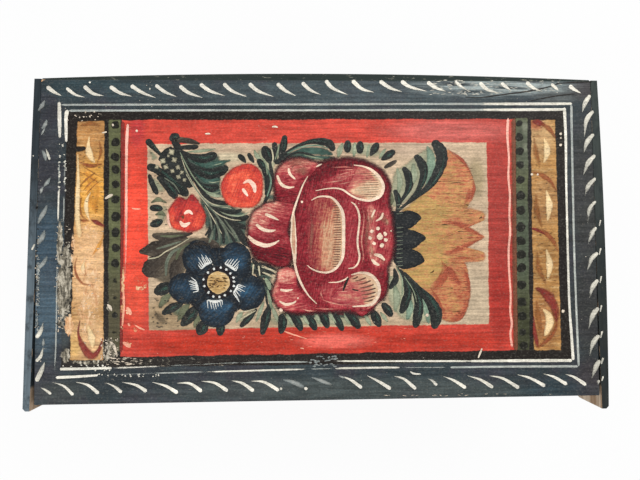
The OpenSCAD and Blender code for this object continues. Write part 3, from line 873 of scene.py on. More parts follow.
def scatter(piece, layer, paint, box, count, length, width, faded):
    left, top, right, bottom = box
    tilts, ends = fleckShape["tilt"], fleckShape["ends"]
    for _ in range(count):
        x, y = dice.uniform(left, right), dice.uniform(top, bottom)
        half, fat = length * dice.uniform(*fleckShape["length"]), width * dice.uniform(*fleckShape["width"])
        tilt = dice.uniform(-tilts, tilts)
        stops = [x - half, y + tilt, ends * fat, x, y, fat, x + half, y - tilt, ends * fat]
        brush(piece, paint, stops, layer, fade=(faded,), **fleckTouch)


dotShape = dict(corners=8, turn=6.28, ragged=0.14)


def dots(piece, paint, spots, layer, load=(0.8, 0.5)):
    for x, y, radius in rows(spots):
        turned = dice.uniform(0, dotShape["turn"])
        outline = []
        for k in range(dotShape["corners"]):
            swell = radius * (1 + dotShape["ragged"] * dice.uniform(-1, 1))
            angle = turned + 2 * math.pi * k / dotShape["corners"]
            outline += [x + swell * math.cos(angle), y + swell * math.sin(angle)]
        blob(piece, paint, outline, layer, load, flow=0)


# a row of commas: three points each, then how far it has faded and how fat it is
def commas(piece, row, headFirst, thick, load, swell, dry, soft):
    way = 1 if headFirst else -1
    for comma in row:
        fade, fat = (comma + (0.0, 1.0)[len(comma) - 6:])[6:8]
        widths = [share * thick * fat for share in swell]
        faded = [fade + dry + more for more in borderCommas["tail"]]
        stops = list(zip(comma[0:6:2], comma[1:6:2], widths[::way]))
        brush(piece, "white", stops, "light", load[::way], fade=faded[::way], soft=soft)


borderCommas = dict(
    thick=dict(top=4.1, right=4.7, bottom=3.6, left=4.6),
    dry=dict(top=0.06, right=0.2, bottom=0.14, left=0.12),
    swell=dict(
        top=(1.0, 0.78, 0.1), right=(0.62, 1.0, 0.16), bottom=(1.0, 0.66, 0.12), left=(0.8, 0.9, 0.2),
    ),
    load=dict(top=(0.75, 0.5), right=(0.46, 0.24), bottom=(0.75, 0.5), left=(0.5, 0.3)), soft=0.22,
    tail=(0.0, 0.05, 0.3),       # how a comma runs dry from its head to its tail
    onCleatsTouch=dict(load=(0.45, 0.2), fade=(0.28,), soft=0.2),
    ghostsTouch=dict(load=(0.45, 0.7, 0.6), fade=(0.44, 0.3, 0.46), soft=0.24),
    top=[    # three points along each comma, how far it has faded, how fat it is
        (47,86.5, 54,92, 62,96), (66.5,88, 75,94.5, 85,97.5, 0, 0.8), (84,86, 93,93.5, 104,96),
        (110,86.5, 120,93, 132,96.5), (131,85.5, 142,92.5, 156,98), (155.5,85, 165,92, 177,97, 0, 0.9),
        (179.5,86, 189,93, 203,98), (200,84, 210,91, 225,96), (223.5,83.5, 232,91, 247,97),
        (249,83.5, 258,91, 274,97), (277,83.5, 285,90.5, 296,96), (302,82.5, 310,90, 321,95, 0.05, 0.95),
        (325.5,80.5, 333,88.5, 348,95), (352,80.5, 362,89, 374,92.5), (379.5,81, 390,88, 402,92),
        (401,81, 410,87, 427,91.5), (427,82, 436,88, 446,91.5, 0.1),
        (455,81, 462,87.5, 472,93, 0.24, 0.8), (479.5,82.5, 487,89.5, 499,93.5),
        (501,83, 506,87, 512,91.6, 0.14, 0.9), (526,82, 533,88, 543,92, 0.15),
        (551,84, 556,88.4, 560,92.6, 0.2, 0.9), (569,85.5, 574,89.5, 581,93.5)],
    right=[
        (590,95, 585,103, 582,112.5), (593,111, 586.5,120, 584,137), (593.5,134, 587,142, 583.5,153),
        (595,155, 588,163, 583,175.5), (595.5,178, 588,186, 584.5,198, 0.1),
        (595.5,201, 589,210.5, 587,226, 0.15), (596,227, 591,235, 587.5,247, 0.15),
        (597.6,252.6, 591.4,259, 587,271, 0.06), (597.8,279.6, 592.6,287, 588.6,299, 0.06),
        (598.4,307.6, 592.6,315, 588.2,329, 0.06, 1.1), (599,335, 593,342.6, 589.2,356, 0.06, 1.1),
        (599.6,360, 595.6,367, 591.4,379, 0.06, 1.1), (599.2,380, 598,382, 596.5,386.5, 0.2, 0.8)],
    bottom=[
        (39,386.6, 45,389.5, 51.6,394, 0.22, 0.9), (52,382, 64,386, 73.6,395, 0.12, 0.9),
        (76,382, 88,385, 99,393.5), (104,382, 114,386, 122,392.5, 0.15), (122,382, 136,385, 147,391.5),
        (152,382, 166,386, 178,393), (177,383, 190,383.5, 202,391.5), (201,381, 215,383, 228,391),
        (231,380.5, 242,383, 254,391), (251,381, 264,382, 279,390.5), (341,376, 351,380, 362,388),
        (367,375.5, 378,381, 391,389), (394,376, 404,379, 416,389), (427,378, 432,380.5, 437,385.5, 0.2),
        (443,376, 454,380.5, 466,388), (467,375.5, 480,379.5, 493,387.5), (489,375.5, 503,378.5, 519,388),
        (517,374.5, 530,378, 545,386), (543,373.5, 554,377, 567,384.5), (565,374, 574,377, 586,385)],
    left=[
        (46,148.6, 48,154, 50,160, 0, 0.5), (44,321, 41,331, 36.4,338, 0.14, 0.95),
        (43.8,346, 41,356, 36.2,361.4, 0.1, 0.8), (45,362, 41,372, 36.4,381.4, 0, 1.1)],
    ghosts=[    # commas that are rubbed thin
        [45,100.5,2, 42.4,105.5,4.4, 38.4,111,1.6], [47,119.6,2, 45.6,124.4,4, 42,129,2],
        [45.6,127,1, 43.4,131.6,2, 41.4,135.4,1], [42.6,150.6,2, 45,155,4, 46.4,161,2],
        [50.6,177.6,1.4, 47.6,182.4,4, 44,186.6,2], [43.6,186.8,2, 41.6,190.4,3, 41,193.6,1.4],
        [47.2,205,1.8, 45,211,4.6, 41,217.6,4.4, 38.2,224,2], [45,230,2, 42.6,237,5, 38,244,4.4],
        [47.6,256.4,1.6, 44.4,262,4.4, 40,267,4, 36.8,271.6,2], [43.8,338,1.4, 43.4,346,3.4],
        [283,379.6,1.6, 293,382,4.2, 304,387,4.8], [311,377,1, 321,380.6,3.4, 331.6,384.6,3],
        [338,375.4,1, 345,378,2.6]],
    rubbed=[    # paint, box, count, length, width, how far the marks have faded
        ("ghost", (309, 356, 336, 366.4), 34, 3, 1.8, 0.36),
        ("ghost", (37, 254, 39.6, 306), 70, 1.6, 1.8, 0.3),
        ("ghost", (36.2, 311, 38, 331), 22, 1.6, 1.8, 0.3),
        # these two rows of white flecks along the top right are painted sheen, streaks of light on the
        # varnish
        ("white", (430, 80, 500, 95), 70, 3.4, 0.8, 0.36),
        ("white", (500, 81, 562, 93), 40, 3.4, 0.7, 0.42),
        ("white", (58.6, 162, 60, 190), 24, 1.5, 1.3, 0.1),
        ("white", (64.4, 160, 66.2, 192), 18, 1.5, 1.3, 0.1),
        ("white", (58, 144, 66, 158), 7, 1.5, 1.3, 0.1),
        ("white", (98, 374, 160, 376.4), 22, 1.5, 1.3, 0.1),
        ("white", (62, 364.6, 110, 370.4), 26, 1.5, 1.3, 0.1)],
    onCleats=[
        [600.4,220,1.6, 599,226,1], [600.6,248,1.6, 599,255,1], [601.2,276,1.7, 599.8,283,1.1],
        [601.4,305,1.7, 599.9,312,1.1], [602,331,1.8, 600.4,338,1.2], [603,357.6,2, 601,364,1.4],
        [603,376,1.6, 601.6,381,1.1], [32,250,2, 35,244,1.6]],
    blobs=[306,388.5,1.6, 281,388.6,1.2, 150,89,0.8, 90,82.5,1.0, 33.5,156,0.6],
)

# the double line inside the commas, which thins out at the ends of each rubbed run
doubleLine = dict(
    touch=dict(load=(0.55, 0.7, 0.6), soft=0.15), rubbedFrom=0.15, endFade=0.3,
    runs=[    # paint, stops, how far it has faded
        ("lineGrey", [61,105,2, 130,104.8,2, 215,104.5,1.8, 300,104.6,2, 400,104.2,2, 486,104,2.2], 0.15),
        ("white", [478,104,2.2, 525,104,2.7, 572,103.8,2.4], 0.12),
        ("lineGrey", [68,110.8,2.2, 130,110.6,2, 220,110.4,2, 320,110.4,2, 420,110.1,2, 490,110,2.2],
          0.12),
        ("white", [482,110,2.2, 530,109.8,2.8, 566,109.6,2.6], 0.1),
        ("white", [59.3,102,2.6, 59.6,112,3.6, 59.8,126,3.4, 60,138,2], 0.05),
        ("white", [67.5,110,4, 66.2,118,3.4, 66.3,130,3, 66.4,142,2], 0.1),
        ("lineGrey", [59.5,162,1.6, 59.3,174,1.8, 59,188,1.6], 0.5),
        ("lineGrey", [65.5,160,1.4, 64.8,172,1.8, 64.6,190,1.6], 0.52),
        ("white", [59,189,2.2, 58.7,200,1.5, 58.2,222,1.5], 0.3),
        ("lineGrey", [64.2,195,1.2, 64,210,1.2, 63.6,224,1], 0.35),
        ("lineGrey", [57.6,255,1, 57,290,1.2, 56.5,325,1.5, 55.8,350,1.6, 54.8,376,1.8], 0.4),
        ("white", [564.2,107.6,3, 565.6,140,2.6, 566,180,2.1, 567.3,240,2], 0.15),
        ("white", [567.2,236,2, 569,300,2.2, 571.3,335,2.5, 573,360,2.8], 0.15),
        ("lineGrey", [571,103,2.4, 572.3,170,2, 574,250,1.9, 575.8,300,1.9, 577.4,340,2.1, 578.5,366,2.2],
          0.1),
        ("white", [60,369,2.6, 85,368.6,2.4, 112,368,2], 0.14),
        ("white", [112,368,1.8, 140,367,1.4, 165,366,1.2], 0.42),
        ("lineGrey", [160,366,1.4, 205,364,1, 250,362,1.6], 0.5),
        ("lineGrey", [240,362.6,1.2, 275,362,1.5, 309,361.8,1.5], 0.28),
        ("white", [335,361,1.5, 400,361,1.7, 475,361,1.8], 0.24),
        ("white", [470,361,2, 520,360.6,2.8, 572,360.4,2.8], 0.08),
        ("white", [56,377.5,2.8, 76,376.6,2.4, 98,375.2,2], 0.06),
        ("lineGrey", [98,375.2,1.2, 130,374,1, 165,372.8,1.2], 0.55),
        ("lineGrey", [152,373.2,1.3, 180,372.4,1.5, 206,371.7,1.2], 0.36),
        ("white", [204,371.8,1.2, 250,370.6,1.6, 309,369,1.6], 0.3),
        ("lineGrey", [309,369,1.2, 335,368.4,1.2], 0.45),
        ("white", [335,368.3,1.8, 380,367.5,1.8, 400,367.4,1.6], 0.18),
        ("lineGrey", [400,367.4,1.2, 425,367.3,1, 450,367.2,1.4], 0.45),
        ("white", [410,371.5,0.8, 414,373.6,1.8, 421,374,0.8], 0.1),
        ("lineGrey", [450,367.2,1.8, 520,366.4,2.1, 578,366.2,2.2], 0.12)],
)


def paintBorder():
    piece = "borderStrokes"
    border = borderCommas
    for side in ("top", "right", "bottom", "left"):
        commas(piece, border[side], side in ("top", "right"), border["thick"][side], border["load"][side],
               border["swell"][side], border["dry"][side], border["soft"])
    layAll(piece, border, "onCleats", "white", "light")
    dots(piece, "white", border["blobs"], "light")
    layAll(piece, border, "ghosts", "ghost", "light")
    for row in border["rubbed"]:
        scatter(piece, "light", *row)
    for paint, stops, faded in doubleLine["runs"]:
        worn = faded + (doubleLine["endFade"] if faded > doubleLine["rubbedFrom"] else 0.0)
        brush(piece, paint, stops, "light", fade=(worn, *[faded] * 5, worn), **doubleLine["touch"])


# dotted green bands, the pink line down each red strip and the dark seams beside them
sideBands = dict(
    dotLoad=(0.2, 0.5), wornTouch=dict(load=(0.4, 0.8), flow=0, soft=0.7, thin=0.26),
    wornShape=(8, 0.2),       # corners, how ragged
    seamTouch=dict(load=(0.5, 0.4), soft=0.8, lift=0.01),
    leftTouch=dict(load=(0.9, 0.6), fade=(0.05, 0.2, 0.6), soft=0.2),
    rightTouch=dict(load=(0.7, 0.6), fade=(0.15,), soft=0.2),
    leftDots=[115.3,125,3.9, 115.4,142.5,4.2, 115.4,157,4.2, 115.6,169.5,4.2, 115.6,184,4,
        115.6,199.5,4.2, 115.6,216.5,4.5, 115.6,232.5,4.2, 115.6,248,4.2, 115.6,263.5,4, 115,315,3],
    wornDots=[115,281,3.6, 115,298,3.4, 114.4,332,3.4],
    rightDots=[519,123.5,3.2, 519.4,137,4, 519.8,151,4, 520,164.5,3.8, 520.2,180,4.2, 520.6,195.5,4.4,
        520.9,210.5,4.5, 521,227,4.7, 521,241,4.4, 521.1,254.5,4.5, 521.3,268,4.5, 521.8,285,4.6,
        521.8,302,4.5, 522,316,4.4, 522.6,332,3.8, 523.4,345.5,4],
    seams=[    # paint, how far it has faded, stops
        ("seam", 0.12, [122.8,121,5.4, 122.4,200,5, 121.8,280,4, 121.2,352,4]),
        ("seamBrown", 0.32, [513.2,118.6,7.6, 513.8,200,7.6, 514.6,280,7.6, 515.4,350,7.6]),
        ("seamBrown", 0.2, [514.2,118,4.6, 514.8,200,4.6, 515.6,280,4.6, 516.4,351,4.6])],
    leftLine=[128,124,2.4, 127,140,2.8, 126.6,160,2.4, 126.5,190,2.4, 126.4,220,2.6, 126,250,2.4,
        125.4,285,2],
    rightLine=[508,118,2.6, 507.2,136,2.4, 508.8,158,2, 508.2,176,2, 509.8,196,2.2, 509.2,214,2,
        510,232,2.2, 508.4,250,2, 509,272,2, 510.6,296,1.8, 510,310,2, 511.6,324,2, 510.2,334,2,
        512,347,2.4],
)


def paintBands():
    piece = "bandStrokes"
    bands = sideBands
    dots(piece, "dotDark", bands["leftDots"] + bands["rightDots"], "light", bands["dotLoad"])
    for x, y, radius in rows(bands["wornDots"]):
        spot = roundOutline((x, y), radius, *bands["wornShape"])
        blob(piece, "dotDark", spot, "light", **bands["wornTouch"])
    for paint, faded, stops in bands["seams"]:
        brush(piece, paint, stops, "field", fade=(faded,), **bands["seamTouch"])
    brush(piece, "pinkLine", bands["leftLine"], "light", **bands["leftTouch"])
    brush(piece, "pinkLine", bands["rightLine"], "light", **bands["rightTouch"])


# loose scrolls on the two ochre strips: each row is a paint with the strokes laid in it
ochreScrolls = dict(
    load=(0.45, 0.65, 0.5), soft=0.6,
    dry=dict(    # how dry each paint is at the tips and in the body
        ochreCream=(0.4, 0.06), ochreBrown=(0.55, 0.34), ochreOrange=(0.6, 0.3), ochreRust=(0.45, 0.14),
        ochreSienna=(0.55, 0.3), notch=(0.1, 0.0),
    ),
    rows=[
        ("ochreBrown", [80,126,5, 90,123.5,7, 101,126,5], [99,140,3, 101,152,5, 97,164,3]),
        ("ochreCream", [89.6,136,2, 88.6,146,5, 90,155,9, 95,163,4]),
        ("ochreSienna", [79,162,4, 90,166,7, 103,164,5]),
        ("ochreOrange", [84,170,8, 92,182,16, 94,200,18, 96,214,8]),
        ("ochreBrown", [80,186,2.4, 87,179,4, 95,173,2.4], [83,191,2, 90,183.6,3.4, 98,177,2]),
        ("ochreCream", [91,192,1.6, 87,200,4, 86.5,210,5, 90,221,2.4]),
        ("ochreBrown", [82,196,2, 80,206,3, 82,216,3.2, 90,222,4]),
        ("ochreSienna", [79,219,3, 84,221,5, 90,220.6,3]),
        ("ochreRust", [91,219.6,3, 97,222.6,6, 105,227,5]),
        ("ochreCream", [78,154,3, 78.4,180,4, 77.6,214,6, 80,238,9]),
        ("ochreBrown", [80,172,1, 90,177.6,1.8, 101,184,1], [84,197,1, 92,188,1.8, 101,180,1], [82,166,1,
          92,172,1.8, 102,178,1]),
        ("ochreOrange", [104,234,3, 99,246,6, 92,256,3]),
        ("ochreSienna", [78,255,2, 75,266,3.4, 77.5,277,4, 84,284,3.6, 96,285,2]),
        ("ochreCream", [85,260,2, 83,268,4.4, 86,277,3]),
        ("ochreRust", [80,320,1.6, 78.5,334,4, 84,348,9, 92,356,9, 99,350,6, 103,338,2]),
        ("ochreCream", [88,325,4, 92,338,8, 93,348,5]),
        ("ochreRust", [532,121.6,6, 538,122.6,8, 545,125.4,5]),
        ("ochreSienna", [540,123,8, 549,129,8, 556,139,4]),
        ("ochreBrown", [534,138,6, 535.6,152,9, 540,168,6]),
        ("ochreSienna", [532,172,4, 541,175,7, 550,181,7, 557,192,4]),
        ("ochreBrown", [536,194,6, 536.6,211,9, 542,228,6]),
        ("ochreRust", [531,228,4, 538,230.4,5, 546,234.6,3]),
        ("ochreSienna", [536,229,6, 545,233,8, 553,241,7, 558,252,4]),
        ("ochreBrown", [537,252,6, 538.6,268,9, 546,285,6]),
        ("ochreCream", [543.6,138,3, 546.6,147,8, 546.4,155,7, 543.6,163,3], [546,190,3, 549,205,8,
          547.4,221,4], [546,249,3, 549.4,264,8, 547.6,279,4]),
        ("ochreBrown", [536,300,6, 538,316,9, 541,334,6]),
        ("ochreRust", [535,288,5, 542,291,10, 549,297.6,13, 554.6,308,12, 556.6,322,8]),
        ("ochreSienna", [557,316,5, 555,330,6, 546,341,7, 536,348,6]),
        ("ochreRust", [533.6,316,2, 534.6,332,5, 537.6,347,8]),
        ("ochreCream", [542.6,309,5, 548,315,9, 549.6,323,9, 546.6,331,8, 544.6,336,5]),
        ("notch", [75,149,5, 80,149,5, 86,148,3])],
)


def paintScrolls():
    for paint, stops in strokes(ochreScrolls["rows"]):
        tip, body = ochreScrolls["dry"][paint]
        layer = "light" if paint == "ochreCream" else "petal"
        soft = 0.0 if paint == "notch" else ochreScrolls["soft"]
        brush("panelScrolls", paint, stops, layer, ochreScrolls["load"], fade=(tip, body, tip), soft=soft)


# leaves: thin washes and pale shadows first, then the dark leaves, then the fine pale lines
foliage = dict(
    washTouch=dict(load=(0.55, 0.75), soft=1.0, rim=8), broadTouch=dict(load=(0.55, 0.7), soft=0.6),
    underTouch=dict(load=(0.4, 0.8, 0.6), fade=(0.4, 0.1, 0.4), soft=0.6),
    stemsTouch=dict(load=(0.3, 0.3), lift=-0.02),
    brownTouch=dict(load=(0.6, 0.3, 0.2), side=0.3, soft=0.25),
    budTouch=dict(load=(0.4, 0.1), flow=45, lift=-0.03),
    darkTouch=dict(load=(0.38, 0.22, 0.32), side=0.15, soft=0.25),
    streakTouch=dict(load=(0.55, 0.8, 0.6), fade=(0.8, 0.42, 0.7), soft=0.5, lift=0.052), broadFrom=6.5,
    streakShift=(0.16, -0.05), streakWidth=0.5,       # shares of the leaf's width
    calyxTouch=dict(load=(0.55, 0.1), flow=0),
    chequerTouch=dict(load=(0.55, 0.2), flow=45, soft=0.5, thin=0.12), chequerShape=(1.42, 1.02),
    chequerTilt=0.3,       # radians either way
    overTouch=dict(load=(0.4, 0.55, 0.4), soft=0.2),
    paleDot=[427,315,1.6],
    washes=[    # paint, how thin, outline
        ("washDark", 0.12, [180,153, 200,153, 216,150, 224,158, 230,164, 224,178, 222,192, 222,200,
          205,198, 192,180, 184,164]),
        ("washDark", 0.15, [203,196, 225,197, 236,204, 248,211, 251,224, 247,240, 238,247, 220,250,
          205,244, 204,230, 206,215]),
        ("washPale", 0.3, [148,147, 158,150, 161,160, 152,165, 147,156]),
        ("washPale", 0.3, [149,176, 160,176, 169,192, 159,197, 151,190]),
        ("washBrown", 0.2, [150,240, 170,236, 190,234, 206,236, 212,248, 200,262, 186,276, 172,288,
          156,284, 147,272, 146,256]),
        ("washPale", 0.25, [254,150, 262,145, 275,143, 288,146, 284,158, 272,178, 262,178, 255,164]),
        ("washPale", 0.25, [390,172, 404,160, 425,147, 437,149, 435,180, 415,198, 398,209, 388,206]),
        ("washPale", 0.25, [387,273, 404,276, 425,296, 433,324, 408,325, 395,318, 384,300]),
        ("washDark", 0.35, [250,262, 264,266, 276,270, 276,284, 272,300, 264,296, 262,280, 252,272])],
    broadWashes=[    # paint, how thin, stops
        ("washPale", 0.2, [256,312,14, 270,320,15, 300,320,14, 330,320,12, 362,321,12, 392,314,13]),
        ("washDark", 0.35, [270,302,8, 276,312,9, 300,316,9, 330,315,8, 356,317,8, 378,311,8, 388,298,6]),
        ("washMaroon", 0.25, [274,306,6, 288,314,8, 310,315,8, 332,313,8, 352,315,8, 372,310,8,
          385,300,6]),
        ("washPale", 0.2, [336,150,8, 348,149,13, 362,149,15, 378,153,15, 392,161,8]),
        ("washDark", 0.15, [260,156,6, 266,172,10, 268,188,10, 266,204,7]),
        ("washDark", 0.2, [274,172,7, 286,158,10, 305,154,9, 324,157,7]),
        ("washDark", 0.3, [260,201,5, 271,197,8, 282,200,4]),
        ("washDark", 0.1, [243,260,8, 252,267,12, 264,273,12, 275,279,7]),
        ("washDark", 0.15, [197,190,6, 204,206,8, 208,222,8, 203,236,8]),
        ("washGreen", 0.4, [164,302,12, 184,314,18, 206,323,12]),
        ("washPale", 0.3, [234,324,6, 248,317,12, 262,304,10]),
        ("washPale", 0.4, [152,202,8, 162,208,14, 160,222,14, 154,230,8]),
        ("washBrown", 0.1, [198,240,10, 212,247,18, 224,254,12]),
        ("washBrown", 0.5, [152,304,8, 160,318,14, 176,326,8])],
    under=[
        ("leafPale", [185,152,2, 200,151,4, 216,149,3]),
        ("leafDeep", [192,161,3, 205,165.5,7, 219,163,7, 231,160,3]),
        ("leafPale", [207,166.6,1, 217,164.4,2, 231,160,1.2]),
        ("leafDeep", [195,174,3, 208,180.5,7, 221,179,5]),
        ("leafPale", [204,180,1, 212,182.4,1.8, 221,181,1], [204,192,2, 214,195.5,4, 225,196,3],
          [210,203,2, 222,206.5,3.4, 234,205,2], [215,209,1.6, 228,214.8,2.8, 240,216,2.8, 249,212,1.6]),
        ("leafOlive", [151,203,3, 158,199.5,6, 167,203,3], [155,215,3, 161,213,5.6, 166,216,3],
          [172,293,4, 165,299,10, 159,308,5], [190,303,4, 184,310,10, 178,321,5], [201,314,4, 197,321,8,
          194,328,4]),
        ("leafPale", [243,311,4, 239,317,6, 236,323,3], [254,150,3, 257,156,6, 262,162,3]),
        ("leafDeep", [288,156,2, 300,150.5,5, 312,150.5,9, 324,152,11, 333,154.5,6], [290,159,4,
          304,156.6,5, 318,157.6,6, 336,158,5]),
        ("leafPale", [338,158,5, 340,150,8, 343,143,5], [354,157,4, 354.4,149,5.6, 355,142,4], [367,158,3,
          368,150,4.6, 369.4,144,3], [379,159,3, 382.6,153,5, 386,148.6,3]),
        ("leafTeal", [426,188,4, 430,172,10, 431,158,11, 427,146,6]),
        ("leafPale", [409,190,3, 414,176,9, 413,163,6], [397,198,3, 400,182,7, 397,168,5]),
        ("leafOlive", [389,209,3, 391.5,200,6, 390,191,4]),
        ("leafTeal", [421,294,3, 426,307,9, 429,324,6], [410,298,4, 410,308,9, 407,320,6]),
        ("leafPale", [394,284,4, 397,297,9, 395,312,6], [389,272,3, 388,281,6, 384,288,4], [264,301,3,
          260,312,5.4, 256,322,3.4], [271,304,3, 275,314,5.4, 279,323,3.4], [286,313,3, 290,319,5.6,
          293,326,3.4], [302,314,3, 306,319.6,5.2, 309,325,3], [314,312,3, 317.6,318,5.6, 320,324,3],
          [327,310,4, 332.6,317,6.6, 338,324,4], [344,312,3, 346.6,319,4.6, 351,325,3], [364,314,3,
          368,320,5.6, 371,326,3], [380,312,3, 384,317,5, 388,322,3]),
        ("leafOlive", [156,246,4, 172,242,7, 187,236,4])],
    stems=[
        [174,139,8, 178,148,7, 185,160,6, 193,175,5, 203,191,6, 212,204,6, 225,219,6.4, 240,236,7,
          247,245,5],
        [245,243,5, 258,250,4, 274,262,3]],
    dark=[
        [172,142,6, 174,137.5,9, 180,137.5,6], [176,148,2, 187,147.4,5, 195,147,5, 198.5,146,2],
        [180,150,2, 191,156.5,6, 203,158.5,9.4, 212,156,9, 217,154,5],
        [185,160,2, 196,169,7, 209,174,10.6, 221,171,10, 228,166.5,5],
        [190,174,2, 200,185,6, 210,188.5,8.6, 219,186,5],
        [204,194,2, 214,201,4.4, 225,203.6,5, 232,202.6,2.4],
        [212,205.5,1.5, 224,211.4,4.6, 235,212,4.8, 242,209.5,2],
        [220,213.5,2, 232,218.5,5.4, 243,218.4,5.8, 249,216,2.8],
        [224,217,2, 235,223.5,5, 242,226.8,5.4, 246.5,227,3], [230,223,3, 239,232,6, 246,242,6],
        [146.5,139.5,6.6, 151,144.5,6, 157,151,4, 163,157,2.6], [172,147,2.4, 165,152.5,5.4, 159,161,3.4],
        [147,168.5,6, 152,167.5,8, 160,172,8, 170,180,10, 181,189,11.4, 188,196,5],
        [149,174,3, 152,183,5.8, 156,192,5.4, 155.5,194.5,3],
        [157,176.5,3, 166,184,8.4, 173,192.5,9, 176,199,4.6], [149.5,208,4, 156,208,7.4, 163,208.8,4],
        [150,225.4,4, 156.5,223.2,8.4, 163,220.6,4], [203,204,2, 210,214,3, 211,226,3, 205,236,1.6],
        [207,207,2, 213,222,3.6, 208,238,2], [210,210,2, 217,225,3.8, 216,241,2.4],
        [214,212,2, 222,228,3.8, 224,244,2.4], [220,217,2, 229,230,4, 235,243,3],
        [173,285,5, 163,289,13, 154,293,5], [183,303,4, 172,308,9, 162,314,4],
        [198,306,5, 190,316,13, 181,326,4], [206,320,6, 202,328,12.6, 198,335,5],
        [221,322,5, 220.5,329,9, 220,336,4], [257,309,2, 248,319,6.6, 240,327,3.4],
        [270,304,3, 266,318,9.6, 262,335,4], [266,173,3, 262,165,7, 257.6,159,4.6],
        [271,164,4, 267,154,10.4, 263.6,146,6], [275,163,3, 275,151,6.4, 274.4,142,4.4],
        [280,158,4, 283.4,146,8, 285,135,4.8], [246,163,1.5, 242,158,5.4, 238,155,3.4],
        [254,163,1.5, 251,158,5, 248,153,3],
        [275,164,3, 283,156,4, 290,150.4,3.2, 300,145,3.4, 310,141.8,4.6, 320,141.4,6.8, 329,143.6,8.4,
          334,151,5],
        [277,164,2.6, 286,157.6,2.8, 295,153,2.4, 303,152.8,2.2, 311,155.2,2.2, 319,158.8,1.6],
        [258,160,2, 264,170,5, 268,182,6, 266,196,3], [270,163,3, 272,178,4.4, 269,192,4, 264,204,3],
        [347.5,153,5, 347.5,146,7.8, 348,140,4], [360,154,5, 360,147,7.8, 360.5,141,4],
        [370,156,2, 374.5,149,7.8, 378,142.5,4], [381,160,2, 388,155.5,8, 395,150.5,4.6],
        [396,212,1.5, 405,205,3, 420,194,4.4, 430,185,7, 437,174,9.4, 441.5,162,11.4, 440.5,151,12.6,
          433,140.5,7],
        [398,212,1.5, 410,200,3, 418,190,4.6, 422.5,180,7, 424,171,9.4, 420.5,162,9, 415,155,5],
        [397,210,1.5, 402,200,3, 407,192,5.4, 409.5,184,8, 408,175,8.4, 403,167,4.4],
        [396,212,1.5, 398,205,4, 397.5,197,6.6, 394.5,189.5,4],
        [394,268,2, 396,278,6, 393,284,6, 389,289,3],
        [397,267,2, 404,280,4.4, 408,292,8, 405,304,9, 400.5,313.5,4],
        [400,269,2, 412,286,4.6, 418.5,302,8.6, 417.5,316,9.4, 415,328,5],
        [404,272,2, 419,289,6, 430.5,302,11, 436,315,13, 434,329,6],
        [382,303,4, 387,309,8.6, 392,316.6,4], [281,314,5, 282.6,323,9.6, 280.6,334,4],
        [291.6,315,4, 297.4,321.6,8.8, 301.6,331,4], [305.6,314,4, 311.4,321.6,8.8, 316,330.4,4],
        [320,310,5, 324.2,318,9.2, 328,328.4,4], [332,311,4, 337.4,320,8, 343,331,4],
        [344.6,312,5, 352.6,319,9.8, 359.8,328.6,5], [372,310,4, 376,318,9.8, 380,327,4],
        [250.8,262,1.8, 250,273,1], [256,263,1.7, 256.4,273,1],
        [258.6,263,2, 268,265.6,3.4, 277,270.4,1.6], [260,268,1.4, 268,271,2.8, 276,274.6,1.4],
        [263,276,1.4, 268,281,2.2, 273,285.6,1.2], [265.6,290,1.4, 266.6,300,2.4, 268,307,1.6],
        [288,311,2, 291,316,3, 294,320,1.4], [246,264,2, 252,270,4.4, 262,273,4, 270,274,2],
        [252,258,3, 258,266,5, 266,270,4], [256,274,2, 262,280,3.6, 267,287,1.6],
        [268,284,1.4, 271,294,3, 272,303,1.4]],
    brown=[
        [188,238,3, 172,243,9, 154,249,14, 139,252,3], [174,254,5, 160,262,19, 150,272,19, 147,277,8],
        [184,254,4, 177,267,13, 172,281,5], [152,235,4, 164,237,8.8, 178,236,7.4, 193,233,2],
        [397,160.6,2, 391,164,5, 384,168,2.4], [200,239,4, 210,243,9, 220,248,4],
        [172,140,4, 182,140,6, 192,141.6,5, 200,144,1.6]],
    over=[
        ("leafGrey", [213,230,1.4, 212,236,2.6, 209,243,1.4], [204,206,1, 210,217,1.6, 212,230,1.6],
          [215,218,0.8, 219,232,2.2, 220,246,1.2], [219,220,0.8, 226,231,2.2, 230,242,1.2], [224,219,0.8,
          233,231,2.4, 240,243,1.4]),
        ("vein", [148,259,1.2, 158,257,1.2, 166,251.5,1.1, 177,246,1, 190,238,0.7]),
        ("leafGrey", [183,247,1, 173,252,3, 167,262,3.4, 166,276,1.6], [156,249,1, 168,245.6,2.4,
          182,241,1]),
        ("leafOlive", [190,243,1.4, 180,250,3, 176,260,2], [160,236,1.6, 172,236.4,2.4, 184,235,1]),
        ("leafGrey", [164,177.5,0.9, 174,184.4,1.3, 180,193,0.9]),
        ("leafPale", [180,152,0.8, 187,166,1.2, 195,179,1.3, 205,190.4,1.4, 214,193.4,1.4,
          221,190.6,0.8]),
        ("vein", [181,156,0.6, 186,170,0.9, 194,185,1, 204,198,1.1, 215,205,1.1, 232,208.6,0.6],
          [186,174,0.6, 196,190,0.9, 207,204,1, 218,214,1.1, 231,219.4,1, 241,220.4,0.6], [205,205,0.6,
          214,220,1, 222,234,0.6], [211,209,0.6, 222,222,1, 234,236,0.6]),
        ("leafGrey", [184,168,1, 194,186,1.4, 204,199,1.6, 214,205.8,1.6, 228,206.8,1], [197,191,1,
          210,207,1.4, 222,222,1.6, 236,239,1]),
        ("vein", [239,320.4,0.8, 247,315.4,1.6, 256,310.4,0.8], [238,312,0.8, 247,311,1.2,
          256,308.5,0.8]),
        ("leafPale", [262,158,1, 266,164.6,1.7, 267.4,175,1]),
        ("vein", [271.4,148,0.9, 273.2,157,1.5, 272,163.6,0.9]),
        ("leafPale", [279.4,144,1, 277.6,152,1.6, 275,160,0.9]),
